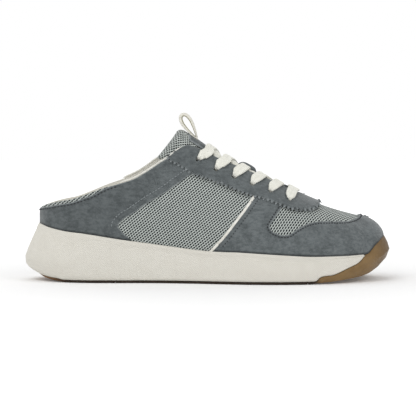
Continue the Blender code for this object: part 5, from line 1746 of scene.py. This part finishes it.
middle, half_gap = (rings[0] + rings[1]) / 2, (rings[0] - rings[1]) / 2
LOOP_SECTION = ((-0.5, 0.6), (-0.47, 0.92), (-0.40, 1.0), (0.40, 1.0), (0.47, 0.92), (0.5, 0.6),
                (0.5, -0.6), (0.47, -0.92), (0.40, -1.0), (-0.40, -1.0), (-0.47, -0.92), (-0.5, -0.6))
loop_rings = np.stack([middle + half_gap * up + np.array([0.0, y * LOOP_WIDTH, 0.0])
                       for y, up in LOOP_SECTION], axis=1)
loop_run = column_lengths(middle[None])[0]
loop_rings = np.concatenate([loop_rings, loop_rings[:, :1]], axis=1)
pull_loop, loop_i, loop_j = add_sheet("webbing_pull_loop", loop_rings)
loop_across = np.array([y for y, _ in LOOP_SECTION] + [-0.5]) * LOOP_WIDTH
give_map(pull_loop, loop_run[loop_i], loop_across[loop_j])
loop_inner = np.array([1.0 if up < -0.5 else 0.0 for _, up in LOOP_SECTION] + [0.0])
give_value(pull_loop, "inner", loop_inner[loop_j])
edit(pull_loop)
bpy.ops.mesh.remove_doubles(threshold=1e-6)
bpy.ops.mesh.normals_make_consistent(inside=False)
leave()
smooth(pull_loop, 40)
webbing = Finish("cream_webbing", (0.66, 0.64, 0.56), 0.8)
web_place = webbing.place("UV")
web_x, web_y = webbing.axis(web_place, 0), webbing.axis(web_place, 1)
web_ribs = webbing.math("SINE", webbing.math("MULTIPLY", web_x, 2 * math.pi / 0.7))
web_rows = webbing.math("SINE", webbing.math("MULTIPLY", web_y, 2 * math.pi / 0.9))
web_high = webbing.math("MULTIPLY", webbing.math("ADD", web_ribs, 1.0), webbing.math("ADD", web_rows, 1.5))
# Painted shade: the weave is painted darker in its hollows.
web_weave_shade = webbing.mix(webbing.band(web_high, 0.0, 4.0), (0.74, 0.72, 0.635), (0.88, 0.86, 0.785))
# Painted shade: the loop's inner face is painted a dark khaki.
web_inner_shade = webbing.band(webbing.attribute("inner"), 0.80, 0.98, 0.0, 0.85)
webbing.color(webbing.mix(web_inner_shade, web_weave_shade, (0.36, 0.34, 0.19)))
webbing.bump(web_high, 0.00006)
webbing.set(sheen=0.15, specular=0.25)
pull_loop.data.materials.append(webbing.material)
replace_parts(pull_loop, "pull_loop")
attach(pull_loop, "root")

# Laces: one soft flat lace of cream knitted cord. Each strand comes up through its hole, pinched,
# spreads over the suede, crosses the tongue and dives under the far edge to the next hole.
LACE_WIDTH = 0.0078
LACE_THICKNESS = 0.0015
LACE_LIFT = 0.0017
# How far a strand has gone towards its next hole: there, at the far edge, on the crown, at the near
# edge and at its own hole. The last strand's are its own.
LACE_SLANT = (1.0, 1.20, 0.88, 0.50, 0.0)
LAST_SLANT = (1.0, 1.0, 0.72, 0.46, 0.0)
LACE_STEPS = 64
LACE_SECTION = [(-0.5, 0.0), (-0.49, 0.22), (-0.44, 0.40), (-0.34, 0.50), (-0.20, 0.53), (-0.08, 0.47),
                (0.0, 0.42), (0.08, 0.47), (0.20, 0.53), (0.34, 0.50), (0.44, 0.40), (0.49, 0.22),
                (0.5, 0.0), (0.49, -0.22), (0.44, -0.40), (0.34, -0.48), (0.15, -0.5), (-0.15, -0.5),
                (-0.34, -0.48), (-0.44, -0.40), (-0.49, -0.22)]
on_eyestay = FIT + SUEDE + EYESTAY_RAISE
lace = Finish("cream_lace", (0.72, 0.72, 0.65), 0.9)
lace_place = lace.place("UV")
lace_x, lace_y = lace.axis(lace_place, 0), lace.axis(lace_place, 1)
lace_slant = lace.math("ADD", lace_x, lace.math("PINGPONG", lace_y, 0.8))
lace_weave = lace.math("SINE", lace.math("MULTIPLY", lace_slant, 2 * math.pi / 0.85))
lace_rows = lace.math("SINE", lace.math("MULTIPLY", lace_y, 2 * math.pi / 0.8))
lace_high = lace.math("ADD", lace.math("MULTIPLY", lace_weave, 0.3),
                      lace.math("ADD", lace.math("MULTIPLY", lace_rows, 0.2), 0.5))
lace_tone = lace.band(lace.noise(lace.place(), 6.0, 3), 0.3, 0.7)
lace_base = lace.mix(lace_tone, (0.83, 0.825, 0.745), (0.90, 0.90, 0.835))
# Painted shade: the weave is painted darker in its hollows.
lace.color(lace.mix(lace.band(lace_high, 0.1, 0.8), (0.72, 0.71, 0.63), lace_base))
lace.bump(lace_high, 0.00012)
lace.bump(lace.noise(lace.place(), 0.3, 2), 0.00003)
lace.set(sheen=0.3, specular=0.2)


def lace_strand(name, start, end, side, under):
    """A strand from one side's hole, over the gap and under the far edge to the next hole."""
    on_tongue = -TONGUE_DEPTH + LACE_LIFT
    middle = on_tongue + (0.0 if under else LACE_THICKNESS * 1.05) + LACE_THICKNESS * 0.5
    rest = on_eyestay + LACE_THICKNESS * 0.5
    near, far = EYELET_ROW.at(start), EYELET_ROW.at(end)
    gap, far_gap = THROAT_LINE.at(start), THROAT_LINE.at(end)
    rows = (
        # distance from the crown, lift, width, thickness
        (near - 0.0007, -WALL - 0.0022, 0.0034, 0.0012),
        (near - 0.0007, -0.0006, 0.0036, 0.0016),
        (near - 0.0009, rest - 0.0004, 0.0048, 0.0021),
        (near - 0.0022, rest + 0.0006, 0.0070, 0.0023),
        (near * 0.62 + gap * 0.38, rest + 0.0010, LACE_WIDTH * 1.08, LACE_THICKNESS * 1.5),
        (gap * 1.00, rest + 0.0006, LACE_WIDTH * 1.06, LACE_THICKNESS * 1.45),
        (gap * 0.66, rest + (middle - rest) * 0.38, LACE_WIDTH * 1.02, LACE_THICKNESS * 1.35),
        (gap * 0.32, rest + (middle - rest) * 0.85, LACE_WIDTH * 0.97, LACE_THICKNESS * 1.2),
        (0.0, middle, LACE_WIDTH * 0.93, LACE_THICKNESS * 1.1),
        (-far_gap * 0.45, middle + (on_tongue + LACE_THICKNESS * 0.8 - middle) * 0.45, LACE_WIDTH * 0.95,
         LACE_THICKNESS * 1.4),
        (-far_gap + 0.0020, on_tongue + LACE_THICKNESS * 0.9, LACE_WIDTH * 0.97, LACE_THICKNESS * 1.4),
        (-far_gap - 0.0015, -WALL - 0.0007, LACE_WIDTH * 0.9, LACE_THICKNESS * 0.7),
        (-(far_gap + far) / 2, -WALL - 0.0010, LACE_WIDTH * 0.7, LACE_THICKNESS * 0.6),
        (-far, -WALL - 0.0016, 0.0036, 0.0011),
    )
    rows = np.array(rows)
    slant = LACE_SLANT if end < LAST_EYELET - 1e-6 else LAST_SLANT
    share = np.interp(rows[:, 0], (-far, -far_gap, 0.0, gap, near), slant)
    along = start + (end - start) * share
    loop, rise = crown_place(along, side * rows[:, 0])
    normals = last_normals(loop, rise)
    places = lasted(loop, rise) + normals * rows[:, 1:2]
    path = smooth_path(np.concatenate([places, rows[:, 2:], normals], axis=1), LACE_STEPS)
    strand = add_strand(name, path[:, :3], unit(path[:, 5:8]), path[:, 3], path[:, 4], LACE_SECTION)
    strand.data.materials.append(lace.material)
    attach(strand, "root")
    return strand


for number in range(EYELET_COUNT - 1):
    start, end = eyelet_along(number), eyelet_along(number + 1)
    crossing = f"lace_cross_{number + 1}"
    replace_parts(lace_strand(f"lace_over_{number + 1}", start, end, LATERAL, False), crossing)
    lace_strand(f"lace_under_{number + 1}", start, end, MEDIAL, True)
bar_along = eyelet_along(EYELET_COUNT - 1)
bar_reach = EYELET_ROW.at(bar_along)
BAR_BOW = 0.0062
BAR_STEPS = 80
bar_rest = on_eyestay + LACE_THICKNESS * 0.5
bar_rows = np.array([
    # across, lift, width, thickness
    (-bar_reach - 0.0002, -WALL - 0.0016, 0.0036, 0.0012),
    (-bar_reach - 0.0002, -0.0006, 0.0038, 0.0020),
    (-bar_reach + 0.0002, bar_rest - 0.0002, 0.0046, 0.0023),
    (-bar_reach + 0.0022, bar_rest + 0.0007, LACE_WIDTH, 0.0023),
    (-bar_reach * 0.7, bar_rest + 0.0010, LACE_WIDTH * 1.12, LACE_THICKNESS * 1.5),
    (-bar_reach * 0.35, bar_rest + 0.0006, LACE_WIDTH * 1.12, LACE_THICKNESS * 1.4),
    (0.0, bar_rest + 0.0003, LACE_WIDTH * 1.08, LACE_THICKNESS * 1.3),
    (bar_reach * 0.35, bar_rest + 0.0006, LACE_WIDTH * 1.12, LACE_THICKNESS * 1.4),
    (bar_reach * 0.7, bar_rest + 0.0010, LACE_WIDTH * 1.12, LACE_THICKNESS * 1.5),
    (bar_reach - 0.0022, bar_rest + 0.0007, LACE_WIDTH, 0.0023),
    (bar_reach - 0.0002, bar_rest - 0.0002, 0.0046, 0.0023),
    (bar_reach + 0.0002, -0.0006, 0.0038, 0.0020),
    (bar_reach + 0.0002, -WALL - 0.0016, 0.0036, 0.0012),
])
bar_side = np.abs(bar_rows[:, 0])
bar_shift = BAR_BOW / SOLE_LENGTH * (1 - bar_side / bar_side.max())
bar_loop, bar_rise = crown_place(bar_along + bar_shift, bar_rows[:, 0])
bar_normals = last_normals(bar_loop, bar_rise)
bar_places = lasted(bar_loop, bar_rise) + bar_normals * bar_rows[:, 1:2]
bar_path = smooth_path(np.concatenate([bar_places, bar_rows[:, 2:], bar_normals], axis=1), BAR_STEPS)
lace_bar = add_strand("lace_lower_bar", bar_path[:, :3], unit(bar_path[:, 5:8]), bar_path[:, 3],
                      bar_path[:, 4], LACE_SECTION)
lace_bar.data.materials.append(lace.material)
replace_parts(lace_bar, "lace_bar")
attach(lace_bar, "root")

# Lace keeper: a short loop of dark grey webbing along the tongue, sewn down at both ends, with the
# third crossing passed through it.
KEEPER_LENGTH = 0.0165
KEEPER_WIDTH = 0.0125
KEEPER_THICKNESS = 0.0010
KEEPER_STEPS = 60
keeper_centre = eyelet_along(2) + (eyelet_along(3) - eyelet_along(2)) * 0.86
keeper_arch = 2 * LACE_THICKNESS + 2 * FIT
keeper_rows = np.array([
    (share, on_pad + keeper_arch * arched + KEEPER_THICKNESS / 2)
    for share, arched in ((-0.5, 0.0), (-0.43, 0.05), (-0.37, 0.55), (-0.28, 0.95), (-0.14, 1.12),
                          (0.0, 1.12), (0.14, 1.10), (0.28, 0.95), (0.37, 0.55), (0.43, 0.05),
                          (0.5, 0.0))
])
keeper_along = keeper_centre + KEEPER_LENGTH / SOLE_LENGTH * keeper_rows[:, 0]
keeper_loop, keeper_rise = crown_place(keeper_along, np.zeros(len(keeper_rows)))
keeper_normals = last_normals(keeper_loop, keeper_rise)
keeper_places = lasted(keeper_loop, keeper_rise) + keeper_normals * keeper_rows[:, 1:2]
keeper_path = smooth_path(np.concatenate([keeper_places, keeper_normals], axis=1), KEEPER_STEPS)
KEEPER_SECTION = [(-0.52, -1.6), (-0.50, -0.9), (-0.42, -0.1), (-0.26, 0.35), (0.0, 0.5), (0.26, 0.35),
                  (0.42, -0.1), (0.50, -0.9), (0.52, -1.6), (0.46, -1.6), (0.40, -0.8), (0.22, -0.35),
                  (0.0, -0.25), (-0.22, -0.35), (-0.40, -0.8), (-0.46, -1.6)]
keeper = add_strand("webbing_keeper", keeper_path[:, :3], unit(keeper_path[:, 3:]),
                    np.full(KEEPER_STEPS, KEEPER_WIDTH),
                    np.full(KEEPER_STEPS, KEEPER_THICKNESS * 1.6), KEEPER_SECTION)
dark_web = Finish("dark_webbing", (0.10, 0.115, 0.12), 0.85)
dark_place = dark_web.place("UV")
dark_x = dark_web.axis(dark_place, 0)
dark_ribs = dark_web.math("SINE", dark_web.math("MULTIPLY", dark_x, 2 * math.pi / 0.8))
# Painted shade: the webbing is painted darker between its ribs.
dark_web_rib_shade = dark_web.band(dark_ribs, -1.0, 1.0)
dark_web.color(dark_web.mix(dark_web_rib_shade, (0.065, 0.075, 0.08), (0.15, 0.17, 0.178)))
dark_web.bump(dark_ribs, 0.00012)
dark_web.set(sheen=0.2, specular=0.2)
keeper.data.materials.append(dark_web.material)
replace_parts(keeper, "lace_keeper")
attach(keeper, "root")
